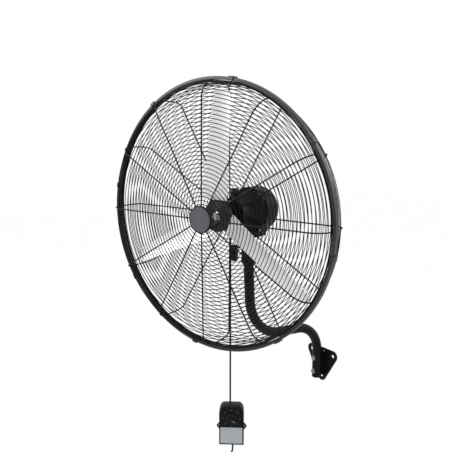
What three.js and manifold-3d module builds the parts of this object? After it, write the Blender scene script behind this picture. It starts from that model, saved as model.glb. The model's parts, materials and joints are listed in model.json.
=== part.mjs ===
// Industrial wall fan: wall plate and bent arm, swivel yoke, tilting motor with guards,
// three-bladed rotor, and a control box that hangs on the motor's cord.
// Millimetres, +Z up. The wall is the plane y = 0 and the fan stands out towards -Y.
import * as THREE from 'three';
import { mergeVertices } from 'three/addons/utils/BufferGeometryUtils.js';
import Module from 'manifold-3d';

const wasm = await Module();
wasm.setup();

// ---------- Driving sizes ----------
const gap = 0.3;                    // clearance between pieces that touch
const roundSides = 16;              // facets of a round piece

// Wall plate
const plateThickness = 5;
const earRadius = 20;
const earHoleRadius = 6.5;
const topEarSpan = 106;
const topEarHeight = 37;
const bottomEarDrop = 52;
const hangHoleRadius = 3;
const hangHoleSpan = 20;
const hangHoleHeight = 46;
const padWidth = 26;
const padHeight = 94;
const padDepth = 9;

// Arm tube, from the wall plate up to the swivel
const tubeRadius = 16.7;
const tubeWall = 2.6;
const armReach = 361;               // wall to the upright's axis
const armFoot = 48;                 // tube end below the plate's centre
const armRise = 49;                 // start of the rear bend above the plate's centre
const rearBendRadius = 110;
const frontBendRadius = 148;
const stretchSlope = 4;             // degrees, rising towards the front
const uprightLean = 3;              // degrees, towards the front
const plumbLength = 5;              // upright's plumb part that shows below the yoke's socket
const armBoltRadius = 4;
const armBoltSpan = 50;
const armBoltHead = 5.5;
const endCapLip = 2;
const endCapStem = 7;

// Head: heights are counted from the motor axis
const headHeight = 606;             // motor axis above the plate's centre
const restPan = 15.5;               // degrees, how far the head is turned at rest
const rimForward = 182;             // swivel axis to the rim's middle plane
const tiltDrop = 103;               // motor axis to the tilt bolt

// Swivel yoke
const yokeWall = 7;
const socketLength = 46;
const socketWall = 6.5;
const cheekRadius = 15;
const cheekThickness = 6;
const cheekSpan = 24;
const cheekRoot = 19;               // tilt bolt down to the yoke's floor
const tiltBoltRadius = 5;
const boltHeadThickness = 6;
const wingHubLength = 12;
const wingReach = 24;
const wingThickness = 4;
const wingTurn = 80;                // degrees from upright, so the wings lie nearly level
const lockScrewRadius = 4;
const lockScrewDrop = 28;           // yoke floor down to the lock screw
const lockBossRadius = 8;
const lockBossLength = 8;
const lockHandleRadius = 11;
const lockHandleLength = 12;

// Capacitor case under the yoke's side lug, and the clip that holds the cord to it
const sideLugWidth = 18;
const capacitorWidth = 18;
const capacitorDepth = 20;
const capacitorHeight = 46;
const capacitorOffset = 57.5;       // swivel axis to the case's middle
const capacitorScrewRadius = 2.2;
const clipHeight = 10;
const clipDepth = 12;
const clipDrop = 10;                // case top down to the clip

// Motor, measured from the rim's middle plane towards the wall
const bossFront = 66;
const bossRadius = 33;
const shoulderDepth = 3.8;          // guard plate's seat in front of the shoulder
const neckRadius = 38;
const shoulderRadius = 43;
const neckEnd = 150;
const flangeFront = 165;
const flangeThickness = 15;
const flangeHalf = 62;
const lugOffset = 57;
const lugRadius = 10;
const motorRadius = 74;
const shellWall = 3.5;
const shellStraight = 56;
const shellDome = 32;
const shellEar = 14;
const motorBoltRadius = 2.6;
const motorBoltHead = 4;
const shaftRadius = 8;
const shaftNose = 4;
const bearingRadius = 17.5;
const bearingWidth = 12;
const bearingPocket = 13;
const statorRadius = 70;
const statorBore = 40.5;
const statorLength = 42;
const statorStart = 10;             // behind the flange
const coilInner = 44;
const frontCoilOuter = 56;
const rearCoilOuter = 63;
const coilLength = 14;
const rotorClearance = 0.7;

// Motor foot
const saddleHalf = 32;
const saddleFront = 14;
const saddleBack = 54;
const saddleDepth = 12;             // below the motor's lowest line
const footScrewRadius = 3;
const footScrewX = 21;
const footScrewY = 38;
const footScrewHead = 4;

// Guards
const rimRadius = 409;
const rimWidth = 18;
const rimWall = 2;
const rimLip = 10;
const clipCount = 8;
const clipClock = 10;               // degrees clockwise from the top, seen from the front
const clipWidth = 16;
const clipWall = 3;
const wireRadius = 1.25;
const spokeRadius = 2.2;
const edgeWireRadius = 2.5;
const spokeCount = 12;
const ringCount = 4;
const frontCentreDepth = 57;
const frontEdgeDepth = 53;
const frontShoulder = 354;
const frontBendReach = 17;          // edge wire in to the bend's first control point
const frontBendDrop = 21;           // face back to the bend's second control point
const frontDiscRadius = 36;
const rearCentreDepth = 80;
const rearEdgeDepth = 76;
const rearShoulder = 374;
const rearBendReach = 6;
const rearBendDrop = 16;
const rearPlateRadius = 50;
const guardPlate = 2.5;
const guardScrewRadius = 2;
const guardScrewCount = 3;
const capRadius = 41;
const capThickness = 8.7;

// Rotor
const hubRadius = 24;
const hubBackRadius = 28;
const hubFront = 18;
const hubLength = 44;
const lobePlane = 22;
const lobeThickness = 6;
const lobeHalf = 28;
const lobeTipHalf = 18;
const lobeShoulder = 54;
const lobeTip = 92;
const nutRadius = 12;
const nutLength = 8;
const washerRadius = 13.5;
const washerThickness = 2;
const bladeCount = 3;
const bladeAngle = 86;              // degrees from +X towards +Z
const bladeRoot = 50;
const bladeTip = 372;
const bladeThickness = 1.6;
const rootChord = 82;
const tipChord = 48;
const rootPitch = 18;
const tipPitch = 12;
const rootLead = 0.32;              // share of the chord on the leading side of the lobe
const tipLead = 0.42;
const camberShare = 0.05;
const rivetRadius = 3;
const rivetHead = 5;
const rivetHeadHeight = 1.6;

// Control box: its own frame has x to the right, y backwards and z up from its top
const cordRadius = 3.1;
const boxTurn = 50;                 // degrees, how far the box has turned on its cord
const boxDrop = 695;                // motor axis to the box's top
const boxWidth = 86;
const boxHeight = 143;
const boxFlat = 49;
const boxShoulder = 27;
const coverDepth = 22;
const shellDepth = 22;
const shellSkirt = 10;
const boxWall = 2.5;
const boxLugDrop = 83;
const boxLugReach = 10;
const boxLugHalf = 12;
const boxLugThickness = 4;
const boxLugHole = 2.2;
const panelWidth = 82;
const panelHeight = 63;
const panelThickness = 1.6;
const panelDrop = 77;
const knobDrop = 43;
const knobRadius = 19;
const knobBase = 8;
const knobGrip = 9;
const knobGripWidth = 8;
const knobShaftRadius = 3;
const switchSize = 28;
const switchDepth = 12;
const switchReach = 6;              // how far the knob's shaft goes into the switch
const grommetRadius = 6;
const grommetFlange = 7.6;
const grommetHeight = 3.5;
const cordInset = 8;                // cords in front of the box's parting line
const upperCordOffset = -4.7;
const lowerCordOffset = 4;
const boxScrewX = 33;
const boxScrewDrop = 62;
const boxScrewRadius = 1.6;
const boxScrewHead = 3.2;
const boxPostRadius = 5;

// Cords
const cordSides = 8;
const cordX = -74.4;                // upper cord beside the capacitor case
const leadGap = 1.2;                // lead and cord turn past each other here as the head tilts
const coilRadius = 36.5;
const coilSection = 9.6;
const coilDrop = 255;               // box top to the coil's centre
const coilEntry = 31.2;             // cord ends above and below the coil's centre
const tailLength = 25;
const tieSlack = 1.4;
const tieWall = 1.5;
const tieWidth = 14;
const plugLength = 36;
const plugWidth = 24;
const plugDepth = 18;
const plugNose = 6;
const plugPin = 17;

// ---------- Finishes ----------
const finish = (color, roughness, metalness) =>
  new THREE.MeshStandardMaterial({ color, roughness, metalness });
const blackPaint = finish(0x17181a, 0.45, 0.2);
const rimPaint = finish(0x45464b, 0.45, 0.3);
const castBlack = finish(0x1c1d1f, 0.6, 0.2);
const hubPaint = finish(0x35353a, 0.55, 0.2);
const capPlastic = finish(0x6f757e, 0.5, 0.0);
const aluminium = finish(0xc9cdd2, 0.35, 0.9);
const zinc = finish(0xbfc0b8, 0.35, 0.9);
const steel = finish(0x9a9da2, 0.4, 0.9);
const copper = finish(0xa8623a, 0.45, 0.8);
const blackPlastic = finish(0x1a1b1d, 0.5, 0.0);
const panelGrey = finish(0xced3d7, 0.4, 0.0);
const rubber = finish(0x141414, 0.7, 0.0);

// ---------- Helpers ----------
const radians = THREE.MathUtils.degToRad;

// Merges equal vertices and drops the triangles that collapse, so that a mesh closes on itself.
function closedMesh(geometry) {
  const bare = geometry.clone();
  bare.deleteAttribute('normal');
  bare.deleteAttribute('uv');
  const merged = mergeVertices(bare, 1e-4);
  const kept = [];
  const index = merged.index.array;
  for (let i = 0; i < index.length; i += 3) {
    const [a, b, c] = [index[i], index[i + 1], index[i + 2]];
    if (a !== b && b !== c && c !== a) kept.push(a, b, c);
  }
  merged.setIndex(kept);
  return merged;
}

function toSolid(geometry) {
  const merged = closedMesh(geometry);
  return new wasm.Manifold(new wasm.Mesh({
    numProp: 3,
    vertProperties: new Float32Array(merged.attributes.position.array),
    triVerts: new Uint32Array(merged.index.array),
  }));
}

function toGeometry(solid) {
  const mesh = solid.getMesh();
  const geometry = new THREE.BufferGeometry();
  geometry.setAttribute('position', new THREE.Float32BufferAttribute(mesh.vertProperties, 3));
  geometry.setIndex(Array.from(mesh.triVerts));
  const facets = geometry.toNonIndexed();
  facets.computeVertexNormals();
  return facets;
}

const join = (first, ...others) =>
  toGeometry(others.reduce((solid, other) => solid.add(toSolid(other)), toSolid(first)));
const cut = (first, ...others) =>
  toGeometry(others.reduce((solid, other) => solid.subtract(toSolid(other)), toSolid(first)));

// Bars and boxes that run from one value to another along an axis
const barY = (radius, from, to, sides = roundSides) =>
  new THREE.CylinderGeometry(radius, radius, to - from, sides).translate(0, (from + to) / 2, 0);
const barZ = (radius, from, to, sides = roundSides) =>
  barY(radius, from, to, sides).rotateX(Math.PI / 2);
const barX = (radius, from, to, sides = roundSides) =>
  barY(radius, from, to, sides).rotateZ(-Math.PI / 2);
const block = (x0, x1, y0, y1, z0, z1) =>
  new THREE.BoxGeometry(x1 - x0, y1 - y0, z1 - z0)
    .translate((x0 + x1) / 2, (y0 + y1) / 2, (z0 + z1) / 2);

// A profile of [radius, height] points turned about Y or Z; it closes on itself or on the axis
// and may be listed either way round
function turnedY(profile, sides = roundSides) {
  const points = profile.map(([radius, height]) => new THREE.Vector2(radius, height));
  if (THREE.ShapeUtils.isClockWise(points)) points.reverse();
  if (points[0].x !== 0) points.push(points[0].clone());
  return new THREE.LatheGeometry(points, sides);
}
const turnedZ = (profile, sides) => turnedY(profile, sides).rotateX(Math.PI / 2);

// A drawing in x and z, made solid from y = front to y = back
function slab(shape, front, back, curveSegments = 6) {
  const geometry = new THREE.ExtrudeGeometry(shape, {
    depth: back - front, bevelEnabled: false, curveSegments,
  });
  return geometry.rotateX(Math.PI / 2).translate(0, back, 0);
}

function rectangle(width, height, centreZ, corner) {
  const [w, h] = [width / 2 - corner, height / 2 - corner];
  const shape = new THREE.Shape();
  shape.absarc(w, centreZ + h, corner, 0, Math.PI / 2);
  shape.absarc(-w, centreZ + h, corner, Math.PI / 2, Math.PI);
  shape.absarc(-w, centreZ - h, corner, Math.PI, 1.5 * Math.PI);
  shape.absarc(w, centreZ - h, corner, 1.5 * Math.PI, 2 * Math.PI);
  return shape;
}

function circlePath(x, y, radius) {
  return new THREE.Path().absarc(x, y, radius, 0, 2 * Math.PI, true);
}

// The corners of a round section, with a flat to each side
function sectionPoints(radius, sides, turn) {
  return Array.from({ length: sides }, (_, k) => {
    const angle = (turn * 2 * Math.PI * (k + 0.5)) / sides;
    return new THREE.Vector2(radius * Math.cos(angle), radius * Math.sin(angle));
  });
}

// A round tube or rod along a curve
function rod(curve, radius, sides, steps, bore = 0) {
  const section = new THREE.Shape(sectionPoints(radius, sides, 1));
  if (bore > 0) section.holes.push(new THREE.Path(sectionPoints(bore, sides, -1)));
  return new THREE.ExtrudeGeometry(section, { steps, extrudePath: curve, bevelEnabled: false });
}

// A bent rod's middle line, which a section follows exactly from station to station
class StationCurve extends THREE.Curve {
  constructor(stations) {
    super();
    this.stations = stations;
  }

  getUtoTmapping(u) {
    return u;
  }

  getPoint(t, target = new THREE.Vector3()) {
    const last = this.stations.length - 1;
    const k = Math.min(Math.floor(t * last), last - 1);
    return target.lerpVectors(this.stations[k], this.stations[k + 1], t * last - k);
  }
}

function add(parent, name, geometry, material) {
  const mesh = new THREE.Mesh(geometry, material);
  mesh.name = name;
  parent.add(mesh);
  return mesh;
}

// ---------- Groups: wall, swivel, head and rotor share one set of axes at rest ----------
const fan = new THREE.Group();
const swivel = new THREE.Group();
swivel.position.set(0, -armReach, headHeight);
swivel.rotation.z = radians(restPan);
fan.add(swivel);
const head = new THREE.Group();
head.position.set(0, -rimForward, 0);
swivel.add(head);

// ---------- Wall plate ----------
const tubeBackY = -(plateThickness + padDepth + gap + tubeRadius);

function makeWallPlate() {
  const ears = [
    [topEarSpan / 2, topEarHeight], [-topEarSpan / 2, topEarHeight], [0, -bottomEarDrop],
  ];
  const outline = new THREE.Shape();
  ears.forEach(([x, z], k) => {
    const [px, pz] = ears[(k + 2) % 3];
    const [nx, nz] = ears[(k + 1) % 3];
    const start = Math.atan2(z - pz, x - px) - Math.PI / 2;
    let end = Math.atan2(nz - z, nx - x) - Math.PI / 2;
    while (end < start) end += 2 * Math.PI;
    outline.absarc(x, z, earRadius, start, end);
  });
  ears.forEach(([x, z]) => outline.holes.push(circlePath(x, z, earHoleRadius)));
  [-1, 1].forEach((side) => {
    outline.holes.push(circlePath((side * hangHoleSpan) / 2, hangHoleHeight, hangHoleRadius));
  });
  const plate = slab(outline, -plateThickness, 0);
  const padCut = block(
    -padWidth / 2, padWidth / 2, -plateThickness - padDepth, -plateThickness + 1,
    -padHeight / 2, padHeight / 2,
  );
  const boltHoles = [-1, 1].map((side) =>
    barY(armBoltRadius + gap, -plateThickness - padDepth - 1, 1, 12)
      .translate(0, 0, (side * armBoltSpan) / 2));
  add(fan, 'wall_plate', cut(join(plate, padCut), ...boltHoles), blackPaint);
}

// ---------- Arm tube with its bolts and end cap ----------
const socketTop = headHeight - tiltDrop - cheekRoot - yokeWall;
const armTop = socketTop - gap;
const leanTop = socketTop - socketLength - plumbLength;

// Points on a bend about (y, z), from one angle to another
function bendPoints(y, z, radius, start, end, steps) {
  return Array.from({ length: steps + 1 }, (_, k) => {
    const angle = radians(start + ((end - start) * k) / steps);
    return new THREE.Vector3(0, y + radius * Math.cos(angle), z + radius * Math.sin(angle));
  });
}

function armCurve() {
  const slope = radians(stretchSlope);
  const lean = radians(uprightLean);
  const rear = bendPoints(tubeBackY - rearBendRadius, armRise, rearBendRadius,
    0, 90 - stretchSlope, 8);
  const rearEnd = rear.at(-1);
  // The stretch and the leaning part meet the bends squarely; their lengths follow from the
  // arm's reach and from the height where the upright becomes plumb
  const across = armReach + rearEnd.y - frontBendRadius * (Math.cos(lean) - Math.sin(slope));
  const up = leanTop - rearEnd.z - frontBendRadius * (Math.cos(slope) - Math.sin(lean));
  const stretch = (across - up * Math.tan(lean))
    / (Math.cos(slope) - Math.sin(slope) * Math.tan(lean));
  const front = bendPoints(
    rearEnd.y - stretch * Math.cos(slope) + frontBendRadius * Math.sin(slope),
    rearEnd.z + stretch * Math.sin(slope) + frontBendRadius * Math.cos(slope),
    frontBendRadius, 270 - stretchSlope, 180 + uprightLean, 9,
  );
  return new StationCurve([
    new THREE.Vector3(0, tubeBackY, -armFoot), ...rear, ...front,
    new THREE.Vector3(0, -armReach, leanTop), new THREE.Vector3(0, -armReach, armTop),
  ]);
}

function makeArm() {
  const curve = armCurve();
  const tube = rod(curve, tubeRadius, 14, curve.stations.length - 1, tubeRadius - tubeWall);
  const front = tubeBackY - tubeRadius;
  const holes = [-1, 1].map((side) =>
    barY(armBoltRadius + gap, front - 2, tubeBackY + tubeRadius + 2, 12)
      .translate(0, 0, (side * armBoltSpan) / 2));
  add(fan, 'arm_tube', cut(tube, ...holes), blackPaint);
  const seat = front - gap;
  [['upper', 1], ['lower', -1]].forEach(([place, side]) => {
    const bolt = join(
      barY(armBoltRadius, seat - 1, -gap, 10),
      barY(9, seat - 1.6, seat, 16),
      barY(7.5, seat - 1.6 - armBoltHead, seat - 1.2, 6),
    ).translate(0, 0, (side * armBoltSpan) / 2);
    add(fan, `arm_bolt_${place}`, bolt, zinc);
  });
  const cap = join(
    barZ(tubeRadius, -armFoot - gap - endCapLip, -armFoot - gap, 16),
    barZ(tubeRadius - tubeWall - 3 * gap, -armFoot - gap - 1, -armFoot + endCapStem, 16),
  ).translate(0, tubeBackY, 0);
  add(fan, 'arm_end_cap', cap, blackPlastic);
}

// ---------- Swivel yoke, tilt bolt, wing nut and lock screw ----------
const yokeFloor = -tiltDrop - cheekRoot;
const cheekOuter = cheekSpan / 2 + cheekThickness;

function makeYoke() {
  const bore = tubeRadius + 2 * gap;
  const outer = bore + socketWall;
  const socketEnd = yokeFloor - yokeWall - socketLength;
  const socket = turnedZ([
    [0, yokeFloor], [outer - 2, yokeFloor], [outer, yokeFloor - 3], [outer, socketEnd + 3],
    [outer - 2, socketEnd], [bore, socketEnd], [bore, yokeFloor - yokeWall],
    [0, yokeFloor - yokeWall],
  ]);
  const cheeks = [-1, 1].flatMap((side) => {
    const inner = side * (cheekSpan / 2);
    const [x0, x1] = [inner, side * cheekOuter].sort((a, b) => a - b);
    return [
      block(x0, x1, -cheekRadius, cheekRadius, yokeFloor - 2, -tiltDrop),
      barX(cheekRadius, x0, x1, 20).translate(0, 0, -tiltDrop),
    ];
  });
  const lug = block(-capacitorOffset - capacitorWidth / 2, -tubeRadius,
    -sideLugWidth / 2, sideLugWidth / 2, yokeFloor - yokeWall, yokeFloor);
  const lockZ = yokeFloor - lockScrewDrop;
  const boss = barY(lockBossRadius, bore + 1, outer + lockBossLength, 14).translate(0, 0, lockZ);
  const holes = [
    barX(tiltBoltRadius + gap, -cheekOuter - 1, cheekOuter + 1, 14).translate(0, 0, -tiltDrop),
    barY(lockScrewRadius + gap, 0, outer + lockBossLength + 1, 12).translate(0, 0, lockZ),
    barZ(capacitorScrewRadius + gap, yokeFloor - yokeWall - 1, yokeFloor + 1, 10)
      .translate(-capacitorOffset, 0, 0),
  ];
  add(swivel, 'swivel_yoke', cut(join(socket, ...cheeks, lug, boss), ...holes), castBlack);

  const handleStart = outer + lockBossLength + gap;
  const lockScrew = join(
    barY(lockScrewRadius, bore, handleStart + 1, 10),
    barY(lockHandleRadius, handleStart, handleStart + lockHandleLength, 6),
  ).translate(0, 0, lockZ);
  add(swivel, 'swivel_lock_screw', lockScrew, blackPlastic);

  const headFace = -cheekOuter - gap;
  const nutFace = cheekOuter + gap;
  const tiltBolt = join(
    barX(tiltBoltRadius, headFace - 1, nutFace + wingHubLength + 3, 12),
    barX(9, headFace - boltHeadThickness, headFace, 6),
  ).translate(0, 0, -tiltDrop);
  add(swivel, 'tilt_bolt', tiltBolt, zinc);
  const wings = block(nutFace + 3, nutFace + wingHubLength + 2,
    -wingThickness / 2, wingThickness / 2, -wingReach, wingReach);
  const wingNut = cut(
    join(barX(9, nutFace, nutFace + wingHubLength, 16), wings),
    barX(tiltBoltRadius + gap, nutFace - 1, nutFace + wingHubLength + 4, 14),
  ).rotateX(radians(wingTurn)).translate(0, 0, -tiltDrop);
  add(swivel, 'tilt_wing_nut', wingNut, castBlack);
}

// ---------- Capacitor case, its screw and the cord clip ----------
const caseTop = yokeFloor - yokeWall - gap;

function makeCapacitor() {
  const screwHole = barZ(capacitorScrewRadius + gap, caseTop - 14, caseTop + 1, 10)
    .translate(-capacitorOffset, 0, 0);
  const outline = rectangle(capacitorWidth, capacitorDepth, 0, 2.5);
  const box = slab(outline, 0, capacitorHeight, 3).rotateX(-Math.PI / 2)
    .translate(-capacitorOffset, 0, caseTop);
  add(swivel, 'capacitor', cut(box, screwHole), blackPlastic);
  const screw = join(
    barZ(capacitorScrewRadius, caseTop - 12, yokeFloor + 1, 10),
    barZ(4, yokeFloor + gap, yokeFloor + gap + 2.5, 12),
  ).translate(-capacitorOffset, 0, 0);
  add(swivel, 'capacitor_screw', screw, zinc);
  const clipInner = -capacitorOffset - capacitorWidth / 2 - gap;
  const clipTop = caseTop - clipDrop;
  const clip = cut(
    block(cordX - cordRadius - 3, clipInner, -clipDepth / 2, clipDepth / 2,
      clipTop - clipHeight, clipTop),
    barZ(cordRadius + gap, clipTop - clipHeight - 1, clipTop + 1, 12).translate(cordX, 0, 0),
  );
  add(swivel, 'cord_clip', clip, blackPlastic);
}

// ---------- Motor: shield, shell, windings, bearings and bolts ----------
const flangeBack = flangeFront + flangeThickness;
const shellEnd = flangeBack + gap + shellStraight;
const shellApex = shellEnd + shellDome;
const neckStart = rearCentreDepth + shoulderDepth;
const pocketFront = flangeFront - bearingPocket;
const rearPocket = shellApex - shellWall - bearingWidth;
const lugPlaces = [[1, 1], [-1, 1], [-1, -1], [1, -1]];

function makeShield() {
  const body = turnedY([
    [shaftRadius + 2 * gap, bossFront], [bossRadius - 2, bossFront], [bossRadius, bossFront + 2],
    [bossRadius, neckStart], [shoulderRadius, neckStart], [shoulderRadius, neckStart + 6],
    [neckRadius, neckStart + 12], [neckRadius, neckEnd], [flangeHalf, flangeFront],
    [flangeHalf, flangeBack], [flangeHalf - 4, flangeBack], [flangeHalf - 4, flangeFront + 4],
    [bearingRadius + gap, flangeFront], [bearingRadius + gap, pocketFront],
    [shaftRadius + 2 * gap, pocketFront],
  ], 20);
  const square = rectangle(2 * flangeHalf, 2 * flangeHalf, 0, 8);
  square.holes.push(circlePath(0, 0, flangeHalf - 4));
  const lugs = lugPlaces.map(([sx, sz]) =>
    barY(lugRadius, flangeFront, flangeBack, 14).translate(sx * lugOffset, 0, sz * lugOffset));
  const boltHoles = lugPlaces.map(([sx, sz]) =>
    barY(motorBoltRadius + gap, flangeFront - 1, flangeBack + 1, 10)
      .translate(sx * lugOffset, 0, sz * lugOffset));
  const screwHoles = guardScrewAngles.map((angle) =>
    barY(guardScrewRadius + gap, neckStart - 1, neckStart + 5, 8)
      .translate(guardScrewRing, 0, 0).rotateY(angle));
  const shield = cut(join(body, slab(square, flangeFront, flangeBack), ...lugs),
    ...boltHoles, ...screwHoles);
  add(head, 'motor_front_shield', shield, castBlack);
}

function makeShell() {
  const front = flangeBack + gap;
  const inner = motorRadius - shellWall;
  const dome = (radius, depth, steps) => Array.from({ length: steps }, (_, k) => {
    const angle = (Math.PI / 2) * ((k + 1) / (steps + 1));
    return [radius * Math.cos(angle) ** 0.8, shellEnd + depth * Math.sin(angle)];
  });
  const outerDome = dome(motorRadius, shellDome, 4);
  const innerDome = dome(inner, shellDome - shellWall, 2).reverse();
  const seat = bearingRadius + gap;
  const body = turnedY([
    [0, shellApex - shellWall / 2], [seat, shellApex - shellWall / 2], [seat, rearPocket],
    [seat + 4, rearPocket], ...innerDome, [inner, shellEnd], [inner, front],
    [motorRadius, front], [motorRadius, shellEnd], ...outerDome, [0, shellApex],
  ], 24);
  const ears = lugPlaces.map(([sx, sz]) =>
    barY(lugRadius, front, front + shellEar, 14).translate(sx * lugOffset, 0, sz * lugOffset));
  const hollow = barY(inner, front - 1, front + shellEar + 1, 24);
  const boltHoles = lugPlaces.map(([sx, sz]) =>
    barY(motorBoltRadius + gap, front - 1, front + shellEar - 2, 10)
      .translate(sx * lugOffset, 0, sz * lugOffset));
  const screwHoles = [-1, 1].map((side) =>
    barZ(footScrewRadius + gap, -motorRadius, -inner + 6, 10)
      .translate(side * footScrewX, rimForward + footScrewY, 0));
  const shell = cut(join(body, ...ears), hollow, ...boltHoles, ...screwHoles);
  add(head, 'motor_rear_shell', shell, castBlack);
}

function makeMotorInside() {
  const start = flangeBack + statorStart;
  const end = start + statorLength;
  add(head, 'stator_core', turnedY([
    [statorBore, start], [statorRadius, start], [statorRadius, end], [statorBore, end],
  ], 24), steel);
  // Each winding stands on the core and is rounded at its far end
  const winding = (near, far, outer) => {
    const round = 3 * Math.sign(near - far);
    return turnedY([
      [coilInner, near], [outer, near], [outer, far + round], [outer - 4, far],
      [coilInner + 4, far], [coilInner, far + round],
    ]);
  };
  add(head, 'winding_front', winding(start - gap, start - coilLength, frontCoilOuter), copper);
  add(head, 'winding_rear', winding(end + gap, end + coilLength, rearCoilOuter), copper);
  const bearing = (from) => turnedY([
    [shaftRadius + gap, from], [bearingRadius, from], [bearingRadius, from + bearingWidth],
    [shaftRadius + gap, from + bearingWidth],
  ]);
  add(head, 'bearing_front', bearing(pocketFront + gap), steel);
  add(head, 'bearing_rear', bearing(rearPocket - gap), steel);
  lugPlaces.forEach(([sx, sz], k) => {
    const bolt = join(
      barY(motorBoltRadius, flangeFront - 1, flangeBack + shellEar - 3, 8),
      barY(5, flangeFront - gap - motorBoltHead, flangeFront - gap, 12),
    ).translate(sx * lugOffset, 0, sz * lugOffset);
    add(head, `motor_bolt_${k + 1}`, bolt, zinc);
  });
}

// ---------- Motor foot and its screws ----------
function makeFoot() {
  const bottom = -motorRadius - saddleDepth;
  const saddle = cut(
    block(-saddleHalf, saddleHalf, -saddleFront, saddleBack, bottom, -motorRadius + 12),
    barY(motorRadius + gap, -2 * motorRadius, 2 * motorRadius, 48),
  );
  const half = cheekSpan / 2 - gap;
  const tongue = join(
    block(-half, half, -cheekRadius + 1, cheekRadius - 1, -tiltDrop, bottom + 2),
    barX(cheekRadius - 1, -half, half, 20).translate(0, 0, -tiltDrop),
  );
  const screwHoles = [-1, 1].map((side) =>
    barZ(footScrewRadius + gap, bottom - 1, 0, 10).translate(side * footScrewX, footScrewY, 0));
  const boltHole = barX(tiltBoltRadius + gap, -half - 1, half + 1, 14)
    .translate(0, 0, -tiltDrop);
  add(swivel, 'motor_foot', cut(join(saddle, tongue), boltHole, ...screwHoles), castBlack);
  [['left', -1], ['right', 1]].forEach(([place, side]) => {
    const wallInside = -Math.sqrt((motorRadius - shellWall) ** 2 - footScrewX ** 2);
    const screw = join(
      barZ(footScrewRadius, bottom - 1, wallInside - 1.5, 10),
      barZ(5.2, bottom - gap - footScrewHead, bottom - gap, 6),
    ).translate(side * footScrewX, footScrewY, 0);
    add(swivel, `foot_screw_${place}`, screw, zinc);
  });
}

// ---------- Guards ----------
const lipRadius = rimRadius - rimLip;
const edgeWire = lipRadius * Math.cos(Math.PI / 48) - gap - edgeWireRadius;
const edgeDepth = rimWidth / 2 - edgeWireRadius;
const guardScrewRing = bossRadius + 5;
const guardScrewAngles = Array.from({ length: guardScrewCount }, (_, k) =>
  radians(30 + (360 * k) / guardScrewCount));

// The run of a spoke: flat from the centre to the shoulder, then round to the rim
function guardRun(startRadius, centre, edge, shoulder, reach, drop, side) {
  const at = (radius, depth) => new THREE.Vector3(radius, side * depth, 0);
  const bend = new THREE.CubicBezierCurve3(at(shoulder, edge),
    at(edgeWire - reach, edge - 0.4 * reach), at(edgeWire, edge - drop),
    at(edgeWire, edgeDepth));
  return [at(startRadius, centre), ...bend.getPoints(3)];
}

function wireCage(run, innerRing) {
  const wires = [];
  const spoke = new StationCurve(run);
  for (let k = 0; k < spokeCount; k += 1) {
    wires.push(rod(spoke, spokeRadius, 4, run.length - 1)
      .rotateY((2 * Math.PI * k) / spokeCount));
  }
  // The spokes cross each ring in the middle of one of its straight pieces
  const ring = (x, y, radius, sides, steps) => new THREE.TorusGeometry(x, radius, sides, steps)
    .rotateZ(Math.PI / steps).rotateX(Math.PI / 2).translate(0, y, 0);
  const outwards = 1 / Math.cos(Math.PI / 24);
  const [flatStart, flatEnd] = run;
  for (let k = 0; k < ringCount; k += 1) {
    const radius = innerRing + ((flatEnd.x - innerRing) * (k + 1)) / ringCount;
    const share = (radius - flatStart.x) / (flatEnd.x - flatStart.x);
    const depth = THREE.MathUtils.lerp(flatStart.y, flatEnd.y, share);
    wires.push(ring(radius * outwards, depth, wireRadius, 3, 24));
  }
  const [middle, end] = [run[2], run.at(-1)];
  wires.push(ring(middle.x * outwards, middle.y, wireRadius, 3, 24));
  wires.push(ring(end.x, end.y, edgeWireRadius, 4, 48));
  return wires;
}

function makeGuards() {
  const plate = new THREE.Shape().absarc(0, 0, rearPlateRadius, 0, 2 * Math.PI, false);
  plate.holes.push(circlePath(0, 0, bossRadius + gap));
  const plateBack = neckStart - gap;
  const rearPlate = slab(plate, plateBack - guardPlate, plateBack, 12);
  const rearRun = guardRun(rearPlateRadius - 6, rearCentreDepth, rearEdgeDepth, rearShoulder,
    rearBendReach, rearBendDrop, 1);
  const screwHoles = guardScrewAngles.map((angle) =>
    barY(guardScrewRadius + gap, plateBack - 10, plateBack + 1, 8)
      .translate(guardScrewRing, 0, 0).rotateY(angle));
  const rear = cut(join(rearPlate, ...wireCage(rearRun, rearPlateRadius)), ...screwHoles);
  add(head, 'rear_guard', rear, blackPaint);
  guardScrewAngles.forEach((angle, k) => {
    const screw = join(
      barY(guardScrewRadius, plateBack - guardPlate - 1, neckStart + 4, 8),
      barY(3.6, plateBack - guardPlate - gap - 2.4, plateBack - guardPlate - gap, 12),
    ).translate(guardScrewRing, 0, 0).rotateY(angle);
    add(head, `guard_screw_${k + 1}`, screw, zinc);
  });

  const frontRun = guardRun(frontDiscRadius - 6, frontCentreDepth, frontEdgeDepth,
    frontShoulder, frontBendReach, frontBendDrop, -1);
  const disc = barY(frontDiscRadius, -frontCentreDepth - guardPlate / 2,
    -frontCentreDepth + guardPlate / 2, 24);
  const capHole = barY(guardScrewRadius + gap, -frontCentreDepth - 4, -frontCentreDepth + 4, 8);
  const front = cut(join(disc, ...wireCage(frontRun, frontDiscRadius)), capHole);
  add(head, 'front_guard', front, blackPaint);

  const capBack = -frontCentreDepth - spokeRadius - gap;
  const capBody = turnedY([
    [0, capBack - capThickness], [capRadius / 2, capBack - capThickness + 0.6],
    [capRadius - 5, capBack - capThickness + 2.6], [capRadius, capBack - capThickness + 5.4],
    [capRadius, capBack], [0, capBack],
  ], 32);
  const capBore = barY(guardScrewRadius + gap, capBack - 5, capBack + 1, 8);
  add(head, 'guard_cap', cut(capBody, capBore), capPlastic);
  const capScrew = join(
    barY(guardScrewRadius, capBack - 4.5, -frontCentreDepth + guardPlate, 8),
    barY(4, -frontCentreDepth + guardPlate / 2 + gap, -frontCentreDepth + 4, 12),
  );
  add(head, 'cap_screw', capScrew, zinc);
}

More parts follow.
